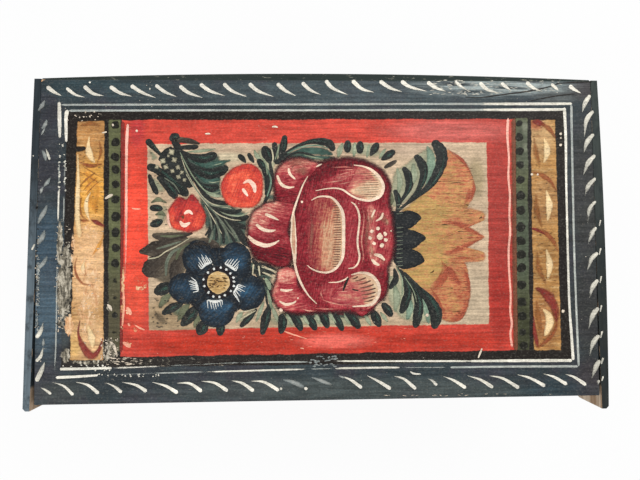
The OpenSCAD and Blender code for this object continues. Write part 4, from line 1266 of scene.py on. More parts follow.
        ("vein", [253.6,264,2, 252.6,275,1], [258.6,265.6,2, 260,276,1], [261,266.8,1, 270,269.4,1.6,
          277,272.6,1], [262,272,1, 269,275,2, 275,278,1]),
        ("leafPale", [265,278,2, 268.6,284,4.6, 270,290,2], [267.6,290,1.6, 269.6,299,3.2, 272,309,1.8]),
        ("leafTeal", [287,153.4,0.8, 296,148.8,1.5, 305,146.3,1.5, 318,145.4,1.3, 328,148.4,0.8],
          [268,170,0.8, 271,182,1.8, 267,197,1]),
        ("leafPale", [396,266,0.8, 402,280,1.6, 402,296,1], [404,276,0.7, 413,290,1, 417,303,0.6]),
        *[("leafGrey", [396.4, y, 1, 403, y - 0.6, 0.6])
          for y in (205, 209, 214, 228, 232.4, 236.6, 241, 245, 249.4, 253.6, 258, 262, 266)],
        ("leafPale", [304,155,1, 314,157.4,1.6, 324,159.4,1])],
    chequers=[171.5,152,2.6, 163,161,2.4, 174.5,160,2.5, 166,167,2.2, 178,167.5,2.2, 172.5,171,1.9,
        182,172.5,1.9, 178.5,177,2, 184.5,180,1.8, 157,167,1.8, 168.5,156,1.3],
    bud=[161,157, 168,149.4, 176,148.6, 184.4,158, 190.6,172, 193.4,186, 184,187, 171,177, 162,167.6],
    calyxLobes=[
        [391,212, 400,212, 409,210.5, 416,212.5, 421.5,217.5, 418,222, 411,228, 400,230, 390,228],
        [392,230, 402,229, 412,230, 420,233, 426,238, 421,243, 414,248.5, 404,249, 394,248],
        [394,250, 406,248.5, 415,250, 421,254, 424.5,261, 418,265.5, 408,269, 400,268, 394,262]],
)


def paintFoliage():
    piece = "leafStrokes"
    leaves = foliage
    for paint, thin, outline in leaves["washes"]:
        flow = dice.uniform(*blobSheet["tilts"])
        blob(piece, paint, outline, "field", flow=flow, thin=thin, **leaves["washTouch"])
    for paint, thin, stops in leaves["broadWashes"]:
        brush(piece, paint, stops, "field", fade=(1.0, thin, thin, 1.0), **leaves["broadTouch"])
    for paint, stops in strokes(leaves["under"]):
        brush(piece, paint, stops, "shadow", **leaves["underTouch"])
    layAll(piece, leaves, "stems", "leafDark", "leaf")
    layAll(piece, leaves, "brown", "leafBrown", "leaf")
    blob(piece, "leafDark", leaves["bud"], "leaf", **leaves["budTouch"])
    for stops in leaves["dark"]:
        brush(piece, "leafDark", stops, "leaf", **leaves["darkTouch"])
        width = rows(stops)[:, 2].max()
        if width > leaves["broadFrom"]:          # a lighter streak down one side of the broad leaves
            right, down = (share * width for share in leaves["streakShift"])
            streak = [(x + right, y + down, leaves["streakWidth"] * w) for x, y, w in rows(stops)]
            brush(piece, "leafDeep", streak, "leaf", **leaves["streakTouch"])
    for outline in leaves["calyxLobes"]:
        blob(piece, "calyx", outline, "leaf", **leaves["calyxTouch"])
    for x, y, half in rows(leaves["chequers"]):
        tilt = math.radians(45) + dice.uniform(-leaves["chequerTilt"], leaves["chequerTilt"])
        corners = []
        for k, r in enumerate(leaves["chequerShape"] * 4):
            angle = tilt + k * math.pi / 4
            corners += [x + half * r * math.cos(angle), y + half * r * math.sin(angle)]
        blob(piece, "vein", corners, "shade", **leaves["chequerTouch"])
    for paint, stops in strokes(leaves["over"]):
        brush(piece, paint, stops, "shade", **leaves["overTouch"])
    dots(piece, "roseCream", leaves["paleDot"], "light")


# the rose: each petal is an outline with its own glazes of (load, strength, stops)
rose = dict(
    halo=dict(grow=3.6, thin=0.2), petalTouch=dict(soft=1.0, rim=7.5), cupTouch=dict(lift=0.01, soft=0.6),
    patchTouch=dict(load=(0.32, 0.4, 0.32), fade=(0.4, 0.1, 0.4), soft=0.6),
    swirlTouch=dict(load=(0.4, 0.6), fade=(0.65, 0.4, 0.65), soft=0.5, lift=-0.02),
    faintTouch=dict(load=(0.66, 0.8, 0.66), fade=(0.5, 0.2, 0.5), soft=0.5, lift=-0.01),
    hatchTouch=dict(load=(0.6, 0.3), lift=0.03), hatchTip=dict(width=0.5, fade=0.75), uneven=0.15,
    stack=dict(step=0.012, drop=0.01),       # mm, how the petals lie one over another
    lowerShape=dict(widths=(0.7, 1.5, 1.3), sag=0.6),
    lowerTouch=dict(load=(0.5, 0.1), fade=(0.3, 0.0, 0.0), lift=0.03), darksTouch=dict(load=(0.5, 0.5)),
    panelTouch=dict(load=(0.5, 0.62, 0.5), fade=(0.75, 0.4, 0.75), soft=0.6, lift=0.02),
    lineTouch=dict(load=(0.4, 0.65, 0.5), soft=0.2), lineWidth=0.92,
    spindleTouch=dict(load=(0.7, 0.6), fade=(0.2,), soft=0.3, lift=0.05),
    body=dict(
        outline=[300,172, 318,161, 335,157, 350,156, 365,159, 380,166, 388,175, 392,185, 391,200, 394,215,
            396,230, 397,245, 394,260, 390,270, 389,290, 385,300, 378,305, 373,312, 362,317, 350,314,
            335,314, 316,314, 303,303, 296,280, 290,250, 291,220, 296,196],
        middle=(345, 235), load=(0.32, 0.32), flow=78,
        glazes=[
            (0.1, 0.95, [310,176,10, 322,168,13, 340,163,12, 358,160,10, 376,167,9, 388,181,8,
              391,196,6]),
            (0.46, 0.8, [330,183,7, 345,179,9, 358,175,8]),
            (0.62, 0.7, [340,177,4, 350,174,5, 362,172,4]),
            (0.2, 0.8, [303,190,8, 299,210,8, 300,240,9, 302,270,8]),
            (0.26, 0.7, [310,188,8, 330,193,8, 346,198,8]),
            (0.44, 0.7, [350,206,8, 351,225,10, 351,245,10, 350,263,7]),
            (0.22, 0.8, [365,212,5, 366.5,230,5, 366,250,5, 364,266,5]),
            (0.78, 0.8, [371,208,5, 371.5,222,6, 371,240,6, 373,254,6, 378,264,5]),
            (0.62, 0.6, [380,214,7, 386,222,7]),
            (0.52, 0.8, [388,214,7, 390,234,8, 389,250,8, 385,266,8]),
            (0.12, 0.7, [394,203,4, 397,235,4, 394,260,4]), (0.2, 0.8, [376,200,5, 386,204,5]),
            (0.22, 0.7, [332,277,5, 318,280,8, 308,272,6]),
            (0.54, 0.8, [322,292,7, 336,294,11, 350,298,9]),
            (0.66, 0.6, [324,300,4, 342,304,6, 362,305,4]),
            (0.24, 0.7, [308,284,8, 317,298,8, 328,309,5]),
            (0.18, 0.8, [380,272,6, 386,282,7, 384,296,6, 376,307,5]),
            (0.3, 0.8, [334,312,4, 350,311,4, 362,314,4])],
    ),
    lowerLeft=dict(
        outline=[277,268, 275,277, 271,287, 270,296, 274,306, 283,313, 300,316, 318,313, 310,299, 301,284,
            296,268, 287,264],
        load=(0.52, 0.5), flow=8,
        glazes=[
            (0.82, 0.9, [279,272,8, 286,276,11, 293,280,8]),
            (0.84, 0.85, [272,297,4, 274,286,5, 278,274,5]), (0.62, 0.7, [284,297,9, 294,294,7]),
            (0.24, 0.8, [299,282,7, 306,296,7, 312,304,5]), (0.62, 0.7, [279,306,4, 290,308,5]),
            (0.34, 0.6, [282,286,4, 292,285,4]), (0.06, 0.9, [284,315,4, 300,316,6, 318,313,6])],
    ),
    left=dict(
        outline=[274,199, 262,203, 251,211, 246,225, 246,238, 249,251, 254,260, 266,265, 279,269, 290,267,
            295,250, 291,232, 293,215, 297,203, 286,198],
        load=(0.4, 0.38), flow=-12,
        glazes=[
            (0.88, 0.9, [249,225,7, 254,213,9, 264,206,9, 276,203,6]),
            (0.74, 0.8, [258,222,10, 268,214,11, 278,209,8]), (0.5, 0.6, [280,218,9, 284,208,8]),
            (0.5, 0.8, [254,234,5, 266,237,6, 279,233,5]), (0.3, 0.7, [272,223,4, 282,226,5]),
            (0.08, 0.95, [251,250,7, 264,256,11, 284,256,10]),
            (0.2, 0.7, [256,238,3, 268,241,3, 280,237,4])],
    ),
    upperLeft=dict(
        outline=[272,190, 272,180, 276,167, 287,158, 300,156, 313,159, 321,164, 312,178, 303,190, 298,203,
            286,206, 275,202],
        load=(0.54, 0.52), flow=10,
        glazes=[
            (0.76, 0.9, [279,170,5, 287,162,8, 300,159,8, 313,161,6]),
            (0.66, 0.7, [294,167,10, 306,166,8]), (0.2, 0.9, [275,193,8, 286,197,9, 297,196,7]),
            (0.12, 0.8, [271,178,4, 271,190,5, 276,201,5]), (0.26, 0.8, [302,181,6, 297,191,6]),
            (0.36, 0.6, [282,178,4, 290,183,5]), (0.3, 0.6, [314,170,5, 308,178,5])],
    ),
    cup=dict(
        outline=[309,203, 318,197.5, 325,196.5, 332,198, 338,204, 342,211, 343.5,222, 343.5,240, 343,255,
            340,263, 335,269, 328,272, 320,271.5, 312,268, 308,262, 305,245, 305,222],
        load=(0.5, 0.45), lean=(0.5, -0.06), flow=80,
        melt=[[305,216,3, 303.6,236,4.4, 306,258,3]],
        glazes=[
            (0.18, 0.8, [312,206,6, 321,201,6, 331,205,5]),
            (0.86, 0.7, [326,228,7, 329,248,9, 326,262,7]),
            (0.06, 0.85, [307,212,5, 306,235,6, 308,257,5]), (0.3, 0.6, [316,225,4, 318,236,4]),
            (0.95, 0.8, [339,208,3, 341,225,3, 341,248,3, 337,264,3])],
    ),
    upperLip=dict(
        outline=[340,188, 345,179, 351,170, 354,166, 365,167.5, 374,172, 381,180, 383.5,187, 381,195,
            375,199, 367,200.5, 358,198.5, 350,194],
        load=(0.43, 0.39), lean=(0.36, -0.12), flow=0, middle=(364, 184),
        melt=[[340,189,6, 344,180,8, 350,170,7, 355,165,4]],
        glazes=[
            (0.05, 0.95, [340,188,6, 345,179,7, 351,170,7, 356,166,4]),
            (0.34, 0.8, [356,171,5, 366,172,6, 373,177,5]),
            (0.16, 0.7, [350,180,3, 360,178,3, 368,179,2]),
            (0.82, 0.8, [354,191,4, 366,189,7, 376,188,6]), (0.45, 0.5, [352,184,3, 362,183,3]),
            (0.86, 0.8, [374,174,3, 381,183,3, 379,194,4, 368,198,3])],
    ),
    lowerLip=dict(
        outline=[322,297, 332,289, 344,280.6, 352,276, 360,273, 369,274.5, 376,280, 379.5,288, 378,296,
            373,303, 364,306.4, 350,308, 334,306, 324,302],
        load=(0.27, 0.23), lean=(0.32, 0.1), flow=10, middle=(356, 292),
        melt=[[320,298,10, 332,288,7, 343,280,4], [326,304,6, 342,308,4]],
        glazes=[
            (0.1, 0.9, [326,294,7, 340,285,5, 350,278,3]), (0.34, 0.7, [334,300,3, 346,298,4]),
            (0.62, 0.7, [352,279,3, 362,277,5]), (0.8, 0.8, [366,276,4, 375,284,5, 376,294,6, 368,303,4]),
            (0.22, 0.7, [348,288,6, 356,296,6]), (0.5, 0.6, [340,295,2.5, 358,299,2.5]),
            (0.1, 0.5, [344,302,3, 360,303,2])],
    ),
    lines=[    # pale lines with their widths
        [308,176,0.8, 303,185,1.5, 298,198,1.9, 294,210,2.2, 291.2,222,1.8],
        [293.6,211,1, 293.4,222,4.4, 293.4,238,6.8, 294.2,250,5.4, 295,264,2],
        [293.5,258,2, 297,273,2.6, 302,285,2.2, 309,296,1.5, 317,304,0.8],
        [316,167,1.4, 319,165.3,1.8, 322,164,0.8],
        [311,200.5,0.8, 318,197,1.6, 325,196.5,2, 332,198,2.4, 338,204,2.8, 342,211,3.2, 343.5,220,3.4,
          343.6,240,3.4, 343,255,3.2, 340,263,2.8, 335,269,2.6, 328,272.3,2.2, 320,272,1.8, 312,269,1.4,
          307,265,0.7],
        [351,202,1, 355,205,1.7, 358.5,212,2.1, 359.5,220,2.1, 358.5,230,2, 357.5,240,2, 358,248,2,
          359.5,256,2.1, 358,263,2, 354,267.5,1.6, 348,268.5,0.9],
        [353,165,0.9, 365,167,2, 374,172,3.3, 381,180,3.3, 383.3,187,3.3, 381,195,3.5, 375,199,3.2,
          368,200.7,2.6, 358,198.8,2.1, 350,194.8,2.1, 343,190,1.9, 335,188.2,1.5, 325,189,1.1,
          315,191,0.6],
        [328,282.5,0.7, 338,282,1.5, 345,279.4,1.6, 348,276.8,1.2],
        [351,275,1.2, 360,272.8,2.3, 369,274.2,3.1, 376,280,3.3, 379.3,288,3.3, 378,296,3.6, 373,303,3.3,
          366,305.5,2.5, 352,306.5,1],
        [277,175,2.4, 281,184,3.4, 288,187.5,2.8, 294.5,187,1],
        [288.5,168,2, 290,174,3, 295.5,179.5,1.4], [265,214,3.2, 272,217,3.2, 279,220.3,1],
        [256,224,2.8, 262,229,3.8, 270,231,3.2, 276,230,1],
        [248,236,2.6, 255,242,4.2, 265,245.5,4.2, 273,244,3, 279.5,240.3,1],
        [280,289.5,1.8, 286,290.6,2.8, 293,289.5,1],
        [279,301,1.8, 286,304.4,3, 293,303,2.2, 296.5,300.8,1], [375,209.5,2.2, 373,214,2, 371.5,217.5,1],
        [383,212.5,1.6, 381,218,2.6, 375.5,221.3,1.2], [374,254.5,2.6, 380,256,4, 385,260.5,1.8],
        [371.5,259,2.2, 375,263,3.4, 379.5,265.3,1.6]],
    faint=[    # thin pink streaks that follow the petals
        [322,183,1, 334,181.6,1.8, 346,180,1], [318,297,1, 326,301,1.8, 340,304.5,1.8, 356,304,1],
        [344,178,0.8, 352,175,1.6, 362,174.6,0.8], [334,177,0.8, 344,173.6,1.6, 354,171.4,0.8],
        [336,184.6,0.8, 346,183,1.6, 356,180.6,0.8], [330,180,0.8, 342,176.6,1.4, 350,175.6,0.8],
        [346,187,0.8, 354,185.6,1.4, 362,184.6,0.8], [330,297,0.8, 340,299.4,1.6, 352,300,0.8],
        [336,289,0.8, 344,286.6,1.6, 352,283.6,0.8], [370,206,1.4, 368.6,216,3, 370,227,1.6],
        [370,246,1.4, 370.6,256,2.6, 374,265,1.4], [282,284,0.8, 288,283,1.6, 294,283.6,0.8],
        [276,296,1, 275,288,2, 277,280,1], [256,217,1.2, 263,221,2, 271,223,1],
        [362,207,1, 364,216,2, 363,228,2, 361.6,242,2, 363.4,256,2, 361,266,1],
        [334,292,1, 344,291.5,1.6, 352,289.5,1], [283,277,1.4, 287,278,2, 291,277,1],
        [262,206,2, 270,204,2.6, 277,206,1.4], [312,308,0.8, 326,309,1.8, 340,308.6,0.8],
        [300,308,0.8, 308,310.6,1.6, 318,311,0.8], [331,168,0.8, 344,167,1.6, 356,168,0.8],
        [338,171,0.8, 350,169.6,1.6, 360,169.4,0.8], [362,311,0.8, 372,306,1.6, 380,300,0.8],
        [322,288,0.8, 321,294,1.4, 324,300,0.8]],
    stamens=[379.5,236.5,3.2, 371.5,231.5,1.9, 378,228.5,1.9, 385,234,1.9, 385.5,240,1.9, 382,245.5,2.2,
        374,243.5,1.8, 370,238,1.9, 391,231,0.8, 302,202,1.2, 298,298,0.9, 281,310,1.8],
    cupHatch=dict(
        left=332, right=341.5, top=203, bottom=267, pitch=2.45, width=0.95, thin=0.2, bend=3.5,
        middle=235, half=32, drop=0.3, jitter=1.2,
    ),
    lipHatch=dict(
        left=354, right=379, top=171, bottom=197, pitch=2.3, width=0.7, thin=0.5, bend=0.022, middle=186,
        half=1, drop=0.8, jitter=5,
    ),
    lowerHatch=[
        (352, 279, 358, 276.5), (355, 281, 366, 277.5), (358, 284.5, 371, 280.5), (359, 288, 374, 284.5),
        (360, 291.5, 376, 288), (361, 295, 376, 292), (362, 298.5, 375, 296), (364, 301.5, 373, 299.5)],
    panel=[
        [371,206,5, 372.5,216,9, 370,227,5], [371,240,4, 371,250,8, 376,261,6],
        [384,214,4, 387,222,6, 388,229,3]],
    spindle=[293.4,216,1.2, 293.6,230,3, 293.6,243,3.4, 294.4,254,1.6],
    swirl=[
        [291.6,173,1, 292.6,167,2, 297,164.4,1.4], [303,167,1.2, 303.4,172,2, 300,177,1],
        [284,165,7, 298,162,13, 313,165,7], [294,172,9, 303,171,15, 310,172,8],
        [364,206,4, 367.6,216,7, 367,230,6, 366,246,6, 368,262,4], [376,212,6, 383,218,10, 386,226,5],
        [374,254,5, 382,258,9, 384,265,5], [310,208,3, 312,226,5, 311,246,5, 313,262,3]],
    darks=[[348.5,277.5,1.6, 345.5,284,2.6, 343,291,1.4], [352,289,1.2, 355,290,1.4, 358.5,290.5,1]],
    redPatch=[356,312,4, 362,313,7, 368,312,4],
)


def hatching(piece, bars):    # short dark lines, one above another
    wide, drop, jitter = bars["width"], bars["drop"], bars["jitter"]
    tip, uneven = rose["hatchTip"], rose["uneven"]
    y = bars["top"]
    while y < bars["bottom"]:
        start = bars["left"] + dice.uniform(-jitter, jitter)
        end = bars["right"] - bars["bend"] * ((y - bars["middle"]) / bars["half"]) ** 2
        stops = [start, y + drop, tip["width"] * wide, (start + end) / 2, y + drop / 3, wide, end, y, wide]
        fade = (tip["fade"], bars["thin"], bars["thin"])
        brush(piece, "hatchDark", stops, "light", fade=fade, **rose["hatchTouch"])
        y += bars["pitch"] + dice.uniform(-uneven, uneven)


def paintRose():
    piece = "roseStrokes"
    for k, name in enumerate(("body", "lowerLeft", "left", "upperLeft")):
        petal = rose[name]
        halo(piece, "washMaroon", petal["outline"], **rose["halo"])
        lift = rose["stack"]["step"] * k - rose["stack"]["drop"]
        blob(piece, "rose", layer="petal", lift=lift, **rose["petalTouch"], **petal)
    brush(piece, "rose", rose["redPatch"], "shade", **rose["patchTouch"])
    for name, paint in (("cup", "cup"), ("upperLip", "lip"), ("lowerLip", "lip")):
        blob(piece, paint, layer="shade", **rose["cupTouch"], **rose[name])
    layAll(piece, rose, "swirl", "swirl", "light")
    layAll(piece, rose, "faint", "rose", "light")
    hatching(piece, rose["cupHatch"])
    hatching(piece, rose["lipHatch"])
    for x0, y0, x1, y1 in rose["lowerHatch"]:
        start, body, end = rose["lowerShape"]["widths"]
        sag = rose["lowerShape"]["sag"]
        stops = [x0, y0, start, (x0 + x1) / 2, (y0 + y1) / 2 + sag, body, x1, y1, end]
        brush(piece, "hatchDark", stops, "light", **rose["lowerTouch"])
    layAll(piece, rose, "darks", "crack", "outline")
    layAll(piece, rose, "panel", "lip", "shade")
    for stops in rose["lines"]:
        thinner = [(x, y, rose["lineWidth"] * w) for x, y, w in rows(stops)]
        brush(piece, "roseCream", thinner, "outline", **rose["lineTouch"])
    brush(piece, "lip", rose["spindle"], "outline", **rose["spindleTouch"])
    dots(piece, "roseCream", rose["stamens"], "outline")


# two small red blooms and the blue five-petalled flower
smallBlooms = dict(
    halo=dict(grow=2.4, thin=0.3, load=0.4), petalTouch=dict(flow=70, soft=0.8, rim=5),
    heartTouch=dict(load=(0.6, 0.9), lift=0.02, soft=0.8, thin=0.3),
    edgeTouch=dict(load=(0.1, 0.3, 0.1), fade=(0.2,), lift=0.02, soft=0.3),
    creamsTouch=dict(load=(0.35, 0.7), fade=(0.2, 0.05, 0.2), soft=0.3),
    first=dict(
        outline=[219.6,186, 223.6,176, 232,167.4, 243,163, 253,163.4, 261,170, 264,180, 264,192,
            260.6,202, 254,208, 240,209, 228,206, 221.6,197],
        load=(0.64, 0.5),
        glazes=[
            (0.35, 0.8, [224,188,4, 230,173,4, 244,166.5,4, 258,170,4]),
            (0.8, 0.6, [234,180,8, 244,176,7]), (0.45, 0.7, [240,183,5, 240,194,5, 248,200,5]),
            (0.72, 0.7, [232,203,4, 244,206,4, 256,204,4]), (0.5, 0.6, [260,182,4, 259,196,4])],
    ),
    second=dict(
        outline=[170,205, 178,196, 186,198, 192,193, 198,198, 203,206, 207,216, 205,226, 198,232, 186,233,
            174,230, 168,222, 167,212],
        load=(0.44, 0.4),
        glazes=[
            (0.12, 0.85, [178,199,5, 190,197,5, 199,202,5]),
            (0.3, 0.7, [174,206,5, 186,204,5, 198,209,5]), (0.74, 0.7, [172,218,5, 176,226,5]),
            (0.66, 0.7, [198,218,5, 196,226,5]), (0.2, 0.7, [180,212,4, 178,220,4]),
            (0.16, 0.6, [190,231,3, 200,230,3])],
    ),
    creams=[
        [243,183.5,1.4, 249,181,3.6, 254,186,4.6, 255,193,2.4],
        [242.5,188.5,2.4, 245,192,3.4, 248,196.5,1.4], [184,214,2, 189,211.5,3.6, 193,214.5,1.6],
        [180,221,2.2, 184,225.5,4.2, 190.5,222.5,1.8]],
    heart=[179,217, 183,213, 187,217, 183,221],
    pinkEdge=[168,213,2, 168.5,221,2.8, 171,228,1.2],
)
blueFlower = dict(
    halo=dict(grow=3, thin=0.3), baseTouch=dict(load=(0.15, 0.04), lift=-0.02, soft=0.5),
    petalTouch=dict(load=(0.34, 0.05), soft=0.3),
    brownTouch=dict(load=(0.3, 0.4), fade=(0.6, 0.45, 0.7), soft=0.5), ringTouch=dict(load=(0.5, 0.2)),
    discTouch=dict(load=(0.5, 0.82), lean=(0.08, 0.06), flow=0),
    tuftTouch=dict(load=(0.7, 0.85, 0.7), fade=(0.3, 0.0, 0.3), soft=0.3),
    hairTouch=dict(load=(0.9, 0.6), fade=(0.0, 0.1, 0.3)),
    hair=dict(reach=(0.8, 1.3), stray=0.8, widths=(1.1, 0.85, 0.5)),
    brownEdge=[188,249,5, 196,243.6,8, 206,244.6,8, 213,251,4],
    dotRadius=1.2,
    petals=[    # outline and glazes
        ([202,281, 197,275, 188,273, 178,274, 170,281, 168.5,290, 173,298, 181,303, 191,304, 199,299,
          203,290], [(0.52, 0.8, [178,286,7, 190,288,8]), (0.3, 0.5, [182,297,4, 194,297,4])]),
        ([217,262, 214,252, 207,243, 197,240, 188,244, 183,253, 183,263, 188,271, 197,274, 207,270],
          [(0.5, 0.8, [193,262,7, 204,258,7]), (0.05, 0.8, [188,247,6, 200,243,7, 210,249,6])]),
        ([204,300, 212,296, 221,296, 230,299, 235,308, 233,318, 226,325, 216,327.5, 206,325, 199.5,317,
          199,307], [(0.74, 0.8, [206,306,6, 217,308,8, 228,306,6]), (0.42, 0.7, [208,317,6,
          222,318,7])]),
        ([234,285, 239,277, 247,274.5, 257,277, 264,285, 265,295, 261,304, 253,310, 243,310.5, 236,304,
          233,294], [(0.86, 0.8, [243,291,7, 250,289,7]), (0.46, 0.7, [250,300,6, 258,292,5])]),
        ([220,262, 222,251, 228,244, 237,242.5, 246,247, 251,257, 250,267, 245,275, 236,277, 227,272],
          [(0.62, 0.8, [229,258,7, 240,262,8]), (0.4, 0.6, [234,249,5, 244,254,5])])],
    middle=(218.5, 282.5),
    base=(35, 12, 0.03), ring=(16.4, 14, 0.0), disc=(11.2, 12, 0.04),      # radius, corners, how ragged
    dots=[203.5,279.5, 204.5,286, 208.5,292.5, 213.5,296.5, 219.5,297, 225,295, 231,291, 234,286,
        234,281.5, 233.5,277.5, 230.5,273.5, 226.5,269.5, 221,267.5, 214,269, 208,272.5],
    tufts=[    # foot and tips
        ([201.5,269,1.4, 206,264.4,2.6, 212,262.4,1.4], [198,265, 199,261, 201,258, 203,256, 206,255.4,
          209,258]),
        ([225,263.8,1.4, 231,267,2.4, 236,271,1.4], [229,260, 233,259, 237,260, 239,263, 238.4,267]),
        ([196,281,1.4, 197,286,2.6, 198.4,291,1.6], [192,278.6, 190,281, 190,284, 191.4,288, 192.6,292]),
        ([238,284.4,1.2, 236.4,288.6,2, 233.4,293,1.6], [246,287, 244.4,290, 242,293, 239.4,299,
          240,302.4]),
        ([207.4,300,1.4, 215,301.6,2.8, 222,300,1.4], [209,309, 213,310.4, 216.5,309, 220,307.6,
          223,305])],
    dashes=[    # as for scatter, without the paint
        ((209, 277, 226, 288), 26, 3.4, 1.2, 0.2), ((211, 280, 221, 287), 10, 2.6, 1.5, 0.05)],
)


def paintBlooms():
    piece = "bloomStrokes"
    small = smallBlooms
    for name in ("first", "second"):
        halo(piece, "bloom", small[name]["outline"], **small["halo"])
        blob(piece, "bloom", layer="petal", **small["petalTouch"], **small[name])
    blob(piece, "umber", small["heart"], "shade", **small["heartTouch"])
    brush(piece, "bloomCream", small["pinkEdge"], "shade", **small["edgeTouch"])
    layAll(piece, small, "creams", "bloomCream", "outline")

    piece = "blueFlower"
    flower = blueFlower
    centre = flower["middle"]
    base = roundOutline(centre, *flower["base"])
    blob(piece, "navy", base, "petal", **flower["baseTouch"])
    for outline, glazes in flower["petals"]:
        halo(piece, "washDark", outline, **flower["halo"])
        flow = dice.uniform(0, 180)
        blob(piece, "navy", outline, "petal", flow=flow, glazes=glazes, **flower["petalTouch"])
    brush(piece, "leafBrown", flower["brownEdge"], "shade", **flower["brownTouch"])
    ring = roundOutline(centre, *flower["ring"])
    blob(piece, "ring", ring, "shade", **flower["ringTouch"])
    disc = roundOutline(centre, *flower["disc"])
    blob(piece, "yellow", disc, "light", **flower["discTouch"])
    for row in flower["dashes"]:
        scatter(piece, "outline", "umber", *row)
    dots(piece, "petalWhite", [(x, y, flower["dotRadius"]) for x, y in rows(flower["dots"], 2)], "outline")
    hair = flower["hair"]
    stray = hair["stray"]
    thick, body, thin = hair["widths"]
    for base, tips in flower["tufts"]:
        brush(piece, "petalWhite", base, "outline", **flower["tuftTouch"])
        tips = rows(tips, 2)
        hairs = np.linspace(0, 1, len(tips) + 2)
        for foot, tip in zip(alongCurve(rows(base)[:, :2], hairs), alongCurve(tips, hairs)):
            reach = foot + (tip - foot) * dice.uniform(*hair["reach"])
            tip = reach + np.array((dice.uniform(-stray, stray), dice.uniform(-stray, stray)))
            stops = [*foot, thick, *((foot + tip) / 2), body, *tip, thin]
            brush(piece, "petalWhite", stops, "outline", **flower["hairTouch"])


# the pale lily-shaped bloom on the right, under its dark leaves
tulip = dict(
    petalTouch=dict(flow=0, soft=1.0), redWidth=1.5,
    stackStep=0.012,       # mm, how the petals lie one over another
    redTouch=dict(load=(0.5, 0.35, 0.5), fade=(0.65, 0.3, 0.65), soft=0.7, lift=-0.01),
    scratchesTouch=dict(load=(0.5, 0.8), fade=(0.2,)), grainFade=0.5,
    body=dict(
        outline=[398,212, 406,203, 420,192, 438,195, 455,201, 468,204, 486,210, 487,219, 472,223.6,
            481,231, 488,237, 479,243, 471,250, 487,253, 487,262, 468,265, 456,268, 448,276, 442,290,
            427,298, 408,286, 398,268, 402,240],
        middle=(438, 240), load=(0.2, 0.3), lean=(0.22, 0), rim=9,
        glazes=[
            (0.78, 0.85, [444,222,3, 458,223,4, 472,229,4, 484,237,4]),
            (0.78, 0.85, [484,237,4, 472,244,4, 458,250,4, 445,254,3]),
            (0.46, 0.7, [452,237,9, 470,237,5]), (0.42, 0.6, [466,211,5, 480,215,5]),
            (0.5, 0.7, [462,257,4, 480,258,4]), (0.7, 0.7, [450,262,3, 464,263,3, 478,262,2]),
            (0.04, 0.7, [414,208,12, 430,206,14, 442,212,11]),
            (0.04, 0.7, [416,270,12, 428,276,13, 440,262,11])],
    ),
    upper=dict(
        outline=[414,202, 427,188, 437,174, 443,160, 446,148, 455,152, 465,160, 473,172, 477,185, 476,197,
            470,207, 462,216, 450,220, 436,214],
        load=(0.42, 0.42), lean=(0.06, 0.1), middle=(455, 190), rim=5.5,
        glazes=[
            (0.84, 0.85, [450,149,3, 460,155.5,4, 470,167,4, 476,181,3, 472,198,5]),
            (0.3, 0.6, [450,168,7, 454,186,8]), (0.08, 0.8, [430,203,7, 446,212,9, 460,212,6]),
            (0.62, 0.6, [444,181,3, 440,190,4, 430,200,3]), (0.6, 0.5, [462,172,4, 466,190,5])],
    ),
    lower=dict(
        outline=[417,276, 430,262, 443,254, 458,254, 467,263, 471,278, 473,292, 470,308, 464,319,
            453,324.6, 442,322, 434,310, 425,296],
        load=(0.58, 0.58), lean=(0.05, 0.0), middle=(455, 294), rim=5.5,
        glazes=[
            (0.96, 0.85, [444,265,3, 451,273,4, 458,282,3]),
            (0.86, 0.8, [466,275,3, 469.5,292,4, 466,308,5, 455,320,4]),
            (0.74, 0.7, [432,290,2, 438,304,3, 445,317,3]), (0.3, 0.6, [448,290,7, 456,306,7]),
            (0.66, 0.6, [456,286,4, 460,300,4])],
    ),
    scratches=[
        [441,225,0.6, 445,224.6,1.6, 448,225,0.6], [479,218.6,0.8, 482,216.8,1.8],
        [430,273,0.6, 433,271.6,1.4, 434,270,0.6], [450,183.4,0.5, 456,182.6,0.9, 462,183,0.5],
        [436,181.8,0.5, 441,181.4,0.9], [452,232,0.4, 460,231.6,0.8, 468,232,0.4],
        [438,246,0.5, 446,246.4,0.8], [424,230,0.4, 430,230.4,0.8], [446,296,0.4, 454,295.6,0.8],
        [452,312,0.5, 460,311,0.9]],
    reds=[
        [444,221,2, 456,224,4.4, 470,230,5, 484,237,3],
        [484,237.6,3, 470,244,4.6, 456,250,4.4, 444,254,2],
        [447,149,2, 457,155.6,3, 465.6,164.6,4, 472.6,176,3], [473.4,179,3, 474,190,4, 470.6,200,3],
        [470,186,2, 468,196,5, 464,206,2], [443,263,2, 450,270,5, 456,278,5, 461,288,2],
        [430,287,2, 438,300,3.4, 446,318,3], [450,322,2, 460,318,4.4, 467,306,2.4],
        [464,268,2, 468.6,282,3, 470,296,2], [448,259,1.6, 462,258,3, 478,258.6,1.6],
        [441,260,5, 445,271,9, 439,283,9, 431,291,5]],
    grain=[    # box, count, length, width
        ((444, 156, 472, 214), 60, 5, 0.8), ((412, 204, 474, 264), 110, 5, 0.8),
        ((440, 268, 466, 316), 50, 4.6, 0.8)],
)


def paintTulip():
    piece = "tulipStrokes"
    for k, name in enumerate(("upper", "lower", "body")):
        blob(piece, "tulip", layer="field", lift=tulip["stackStep"] * k, **tulip["petalTouch"], **tulip[name])
    for stops in tulip["reds"]:
        wider = [(x, y, tulip["redWidth"] * w) for x, y, w in rows(stops)]
        brush(piece, "tulipRed", wider, "shadow", **tulip["redTouch"])
    layAll(piece, tulip, "scratches", "umber", "shadow")
    for row in tulip["grain"]:
        scatter(piece, "shadow", "umber", *row, tulip["grainFade"])


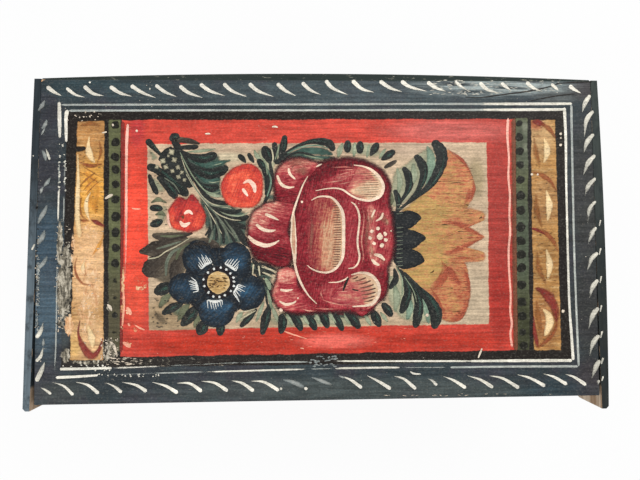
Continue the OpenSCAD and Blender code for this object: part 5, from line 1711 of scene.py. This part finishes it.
# chips, flecks and the long crack
damage = dict(
    touch=dict(load=(0.4, 0.7, 0.5), soft=0.2),
    marks=[    # paint, how far it has faded, stops
        ("chip", 0, [205,134,1, 208,133.8,1.8, 210.5,134,1]),
        ("chip", 0, [272,127,1.2, 275,126.6,2, 278,127.4,1]),
        ("redChip", 0.1, [284,331,0.9, 290,333.4,1.5, 300,336.6,0.9, 307,339,0.6]),
        ("redChip", 0, [127,307,2, 129.5,311,4, 131,315,2]),
        ("redChip", 0, [135,325,1, 140,328,1.8, 145,330,1]),
        ("redChip", 0, [123,342,2, 127.5,345,4, 131,347,2]),
        ("redChip", 0.2, [123.4,286,1.4, 124,305,2.4, 122.6,326,1.6]),
        ("redChip", 0.1, [128,323,1, 130,326,2.4]), ("chip", 0, [482,348,1, 480,353,1.8, 478,358,1]),
        ("chip", 0.1, [105,199,1, 109,196.5,3, 113,194.5,2]), ("chip", 0, [102,133,1, 107,132,1.6]),
        ("redChip", 0, [132,208.5,1.2, 137,209,1.6, 141,209,0.8]),
        ("redChip", 0, [300,348,1, 304,348.5,1.4]), ("chip", 0.2, [107.4,304,1, 110,307,3, 112,311,1]),
        ("chip", 0.3, [110,341,1.4, 114,346,3, 117,355,1.4]),
        ("crack", 0.1, [465,97,0.6, 480,97.6,0.8, 500,95,1, 520,92.5,1.2, 535,90,1.4, 548,87,1,
          558,84,0.6]),
        ("crack", 0.2, [530,101,0.5, 545,98,0.9, 560,95.4,0.9, 575,94,0.5]),
        ("crack", 0.1, [556,83.6,0.6, 575,82.4,0.9, 592,82,0.6])],
    flecks=[531.6,174.4,1.2, 537.4,174.6,1, 137,131,1.2, 563,311,1.5, 113,125,1, 560.4,134,1.2,
        560.8,138,0.8, 560.4,145,1.4, 80,117.5,0.8, 84,117,0.7],
    specks=[    # paint, box, count, length, width, how far they have faded
        ("redChip", (290, 327, 410, 348), 34, 3.4, 0.9, 0.5),
        ("redChip", (130, 122, 505, 140), 26, 3, 0.7, 0.55),
        ("redChip", (126, 150, 144, 345), 26, 2.6, 0.9, 0.5),
        ("crack", (126, 326, 500, 350), 30, 4, 0.6, 0.6), ("chip", (150, 146, 480, 150), 10, 2, 0.6, 0.5),
        ("chip", (76, 230, 104, 350), 22, 2.4, 1, 0.4),
        ("umber", (78, 124, 103, 230), 60, 2.4, 0.9, 0.45),
        ("umber", (74, 230, 103, 356), 50, 1.8, 0.9, 0.5),
        ("umber", (533, 124, 557, 346), 110, 2.4, 0.9, 0.45),
        ("chip", (101, 336, 118, 361), 44, 1.5, 1.3, 0.3),
        ("washBrown", (150, 298, 200, 328), 40, 2.4, 1.5, 0.35),
        ("washBrown", (150, 148, 168, 232), 20, 2, 1.3, 0.4),
        ("chip", (62, 110, 103, 121), 16, 1.2, 0.9, 0.2),
        ("chip", (35.4, 236, 39, 332), 14, 0.9, 1.1, 0.3),
        ("crack", (36, 180, 38.6, 332), 30, 0.8, 1.4, 0.2),
        ("chip", (57, 224, 62.6, 332), 40, 1.2, 1.3, 0.3),
        ("notch", (56, 232, 74, 330), 30, 2.6, 1.1, 0.25), ("chip", (54, 226, 70, 330), 26, 2, 1, 0.35),
        ("chip", (40, 84, 590, 104), 16, 2, 0.6, 0.5),
        ("chip", (106, 357.4, 142, 365), 34, 3.2, 1.1, 0.38),
        ("chip", (146, 356.6, 234, 366), 46, 4.4, 0.8, 0.6),
        ("chip", (380, 394.8, 468, 395.6), 14, 3, 0.7, 0.4),
        ("chip", (470, 393.6, 560, 394.2), 7, 2.6, 0.5, 0.42),
        ("chip", (60, 374, 590, 394), 12, 2, 0.6, 0.5), ("notch", (76, 124, 104, 350), 24, 3, 0.7, 0.5),
        ("notch", (533, 124, 556, 346), 26, 3, 0.7, 0.45)],
)


def markDamage():
    piece = "wearMarks"
    for row in damage["specks"]:
        scatter(piece, "outline", *row)
    for paint, faded, stops in damage["marks"]:
        layer = "light" if paint == "crack" else "outline"
        brush(piece, paint, stops, layer, fade=(faded,), **damage["touch"])
    dots(piece, "chip", damage["flecks"], "outline")


def finishPiece(piece):
    bpy.ops.object.select_all(action="DESELECT")
    for item in pieces[piece]:
        item.select_set(True)
    whole = pieces[piece][0]
    bpy.context.view_layer.objects.active = whole
    bpy.ops.object.join()
    whole.name = whole.data.name = piece
    bpy.ops.object.mode_set(mode="EDIT")
    bpy.ops.mesh.select_all(action="SELECT")
    bpy.ops.mesh.remove_doubles(threshold=strokeSheet["weld"])
    bpy.ops.object.mode_set(mode="OBJECT")
    thick = whole.modifiers.new("paintDepth", "SOLIDIFY")
    thick.thickness = (strokeSheet["sunk"] + layers["outline"] + strokeSheet["spare"]) * mm
    thick.offset = -1
    bpy.ops.object.modifier_apply(modifier=thick.name)
    bpy.ops.object.shade_smooth_by_angle(angle=math.radians(strokeSheet["smooth"]))
    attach(whole, "lid")
    print(piece, "laid on:", len(pieces[piece]), "strokes,", len(whole.data.polygons), "faces")


paintBorder()
paintBands()
paintScrolls()
paintFoliage()
paintTulip()
paintRose()
paintBlooms()
markDamage()
for piece in pieces:
    finishPiece(piece)
for sheet, column, v in sheets.values():
    bpy.data.meshes.remove(sheet)

# a white table, soft light all round and one window-like light behind on the right
studio = dict(
    floorSize=8.0, floorColour=(244, 244, 244), floorGlow=0.92, floorRough=0.9,
    sky=0.62,
    lamps=[   # place, target, size, watts
        ((0.50, 0.62, 1.35), (0.12, 0.06, 0.24), 0.7, 7.0),
        ((-0.9, -0.7, 1.6), (0, 0, 0.2), 1.2, 9.0),
    ],
)


def buildStudio():
    bpy.ops.object.select_all(action="DESELECT")
    bpy.ops.mesh.primitive_plane_add(size=studio["floorSize"])
    floor = bpy.context.object
    floor.name = "studioFloor"
    material, tree, shader = newMaterial("whiteTable")
    shader.inputs["Roughness"].default_value = studio["floorRough"]
    feed(tree, shader.inputs["Base Color"], studio["floorColour"])
    path = add(tree, "LightPath").outputs
    mirrored = larger(tree, path["Is Glossy Ray"], path["Is Transmission Ray"])
    seen = larger(tree, path["Is Camera Ray"], mirrored)
    glow = add(tree, "Emission", {"Color": (255, 255, 255), "Strength": 1.0})
    amount = times(tree, seen, studio["floorGlow"])
    mixed = add(tree, "MixShader", {0: amount, 1: shader.outputs[0], 2: glow.outputs[0]})
    tree.links.new(mixed.outputs[0], tree.nodes["Material Output"].inputs["Surface"])
    floor.data.materials.append(material)

    world = bpy.data.worlds.new("studioSky")
    bpy.context.scene.world = world
    world.use_nodes = True
    tree = world.node_tree
    sky = tree.nodes["Background"]
    sky.inputs["Color"].default_value = (1, 1, 1, 1)
    path = add(tree, "LightPath").outputs
    seen = larger(tree, path["Is Camera Ray"], path["Is Transmission Ray"])
    feed(tree, sky.inputs["Strength"], ramp(tree, seen, 0.0, 1.0, studio["sky"], 1.0))

    for place, target, size, watts in studio["lamps"]:
        bpy.ops.object.light_add(type="AREA", location=place)
        lamp = bpy.context.object
        lamp.data.shape = "SQUARE"
        lamp.data.size = size
        lamp.data.energy = watts
        lamp.rotation_mode = "QUATERNION"
        lamp.rotation_quaternion = (Vector(target) - Vector(place)).to_track_quat("-Z", "Y")
    bpy.context.scene.view_settings.view_transform = "Standard"


buildStudio()
print("studio lit")
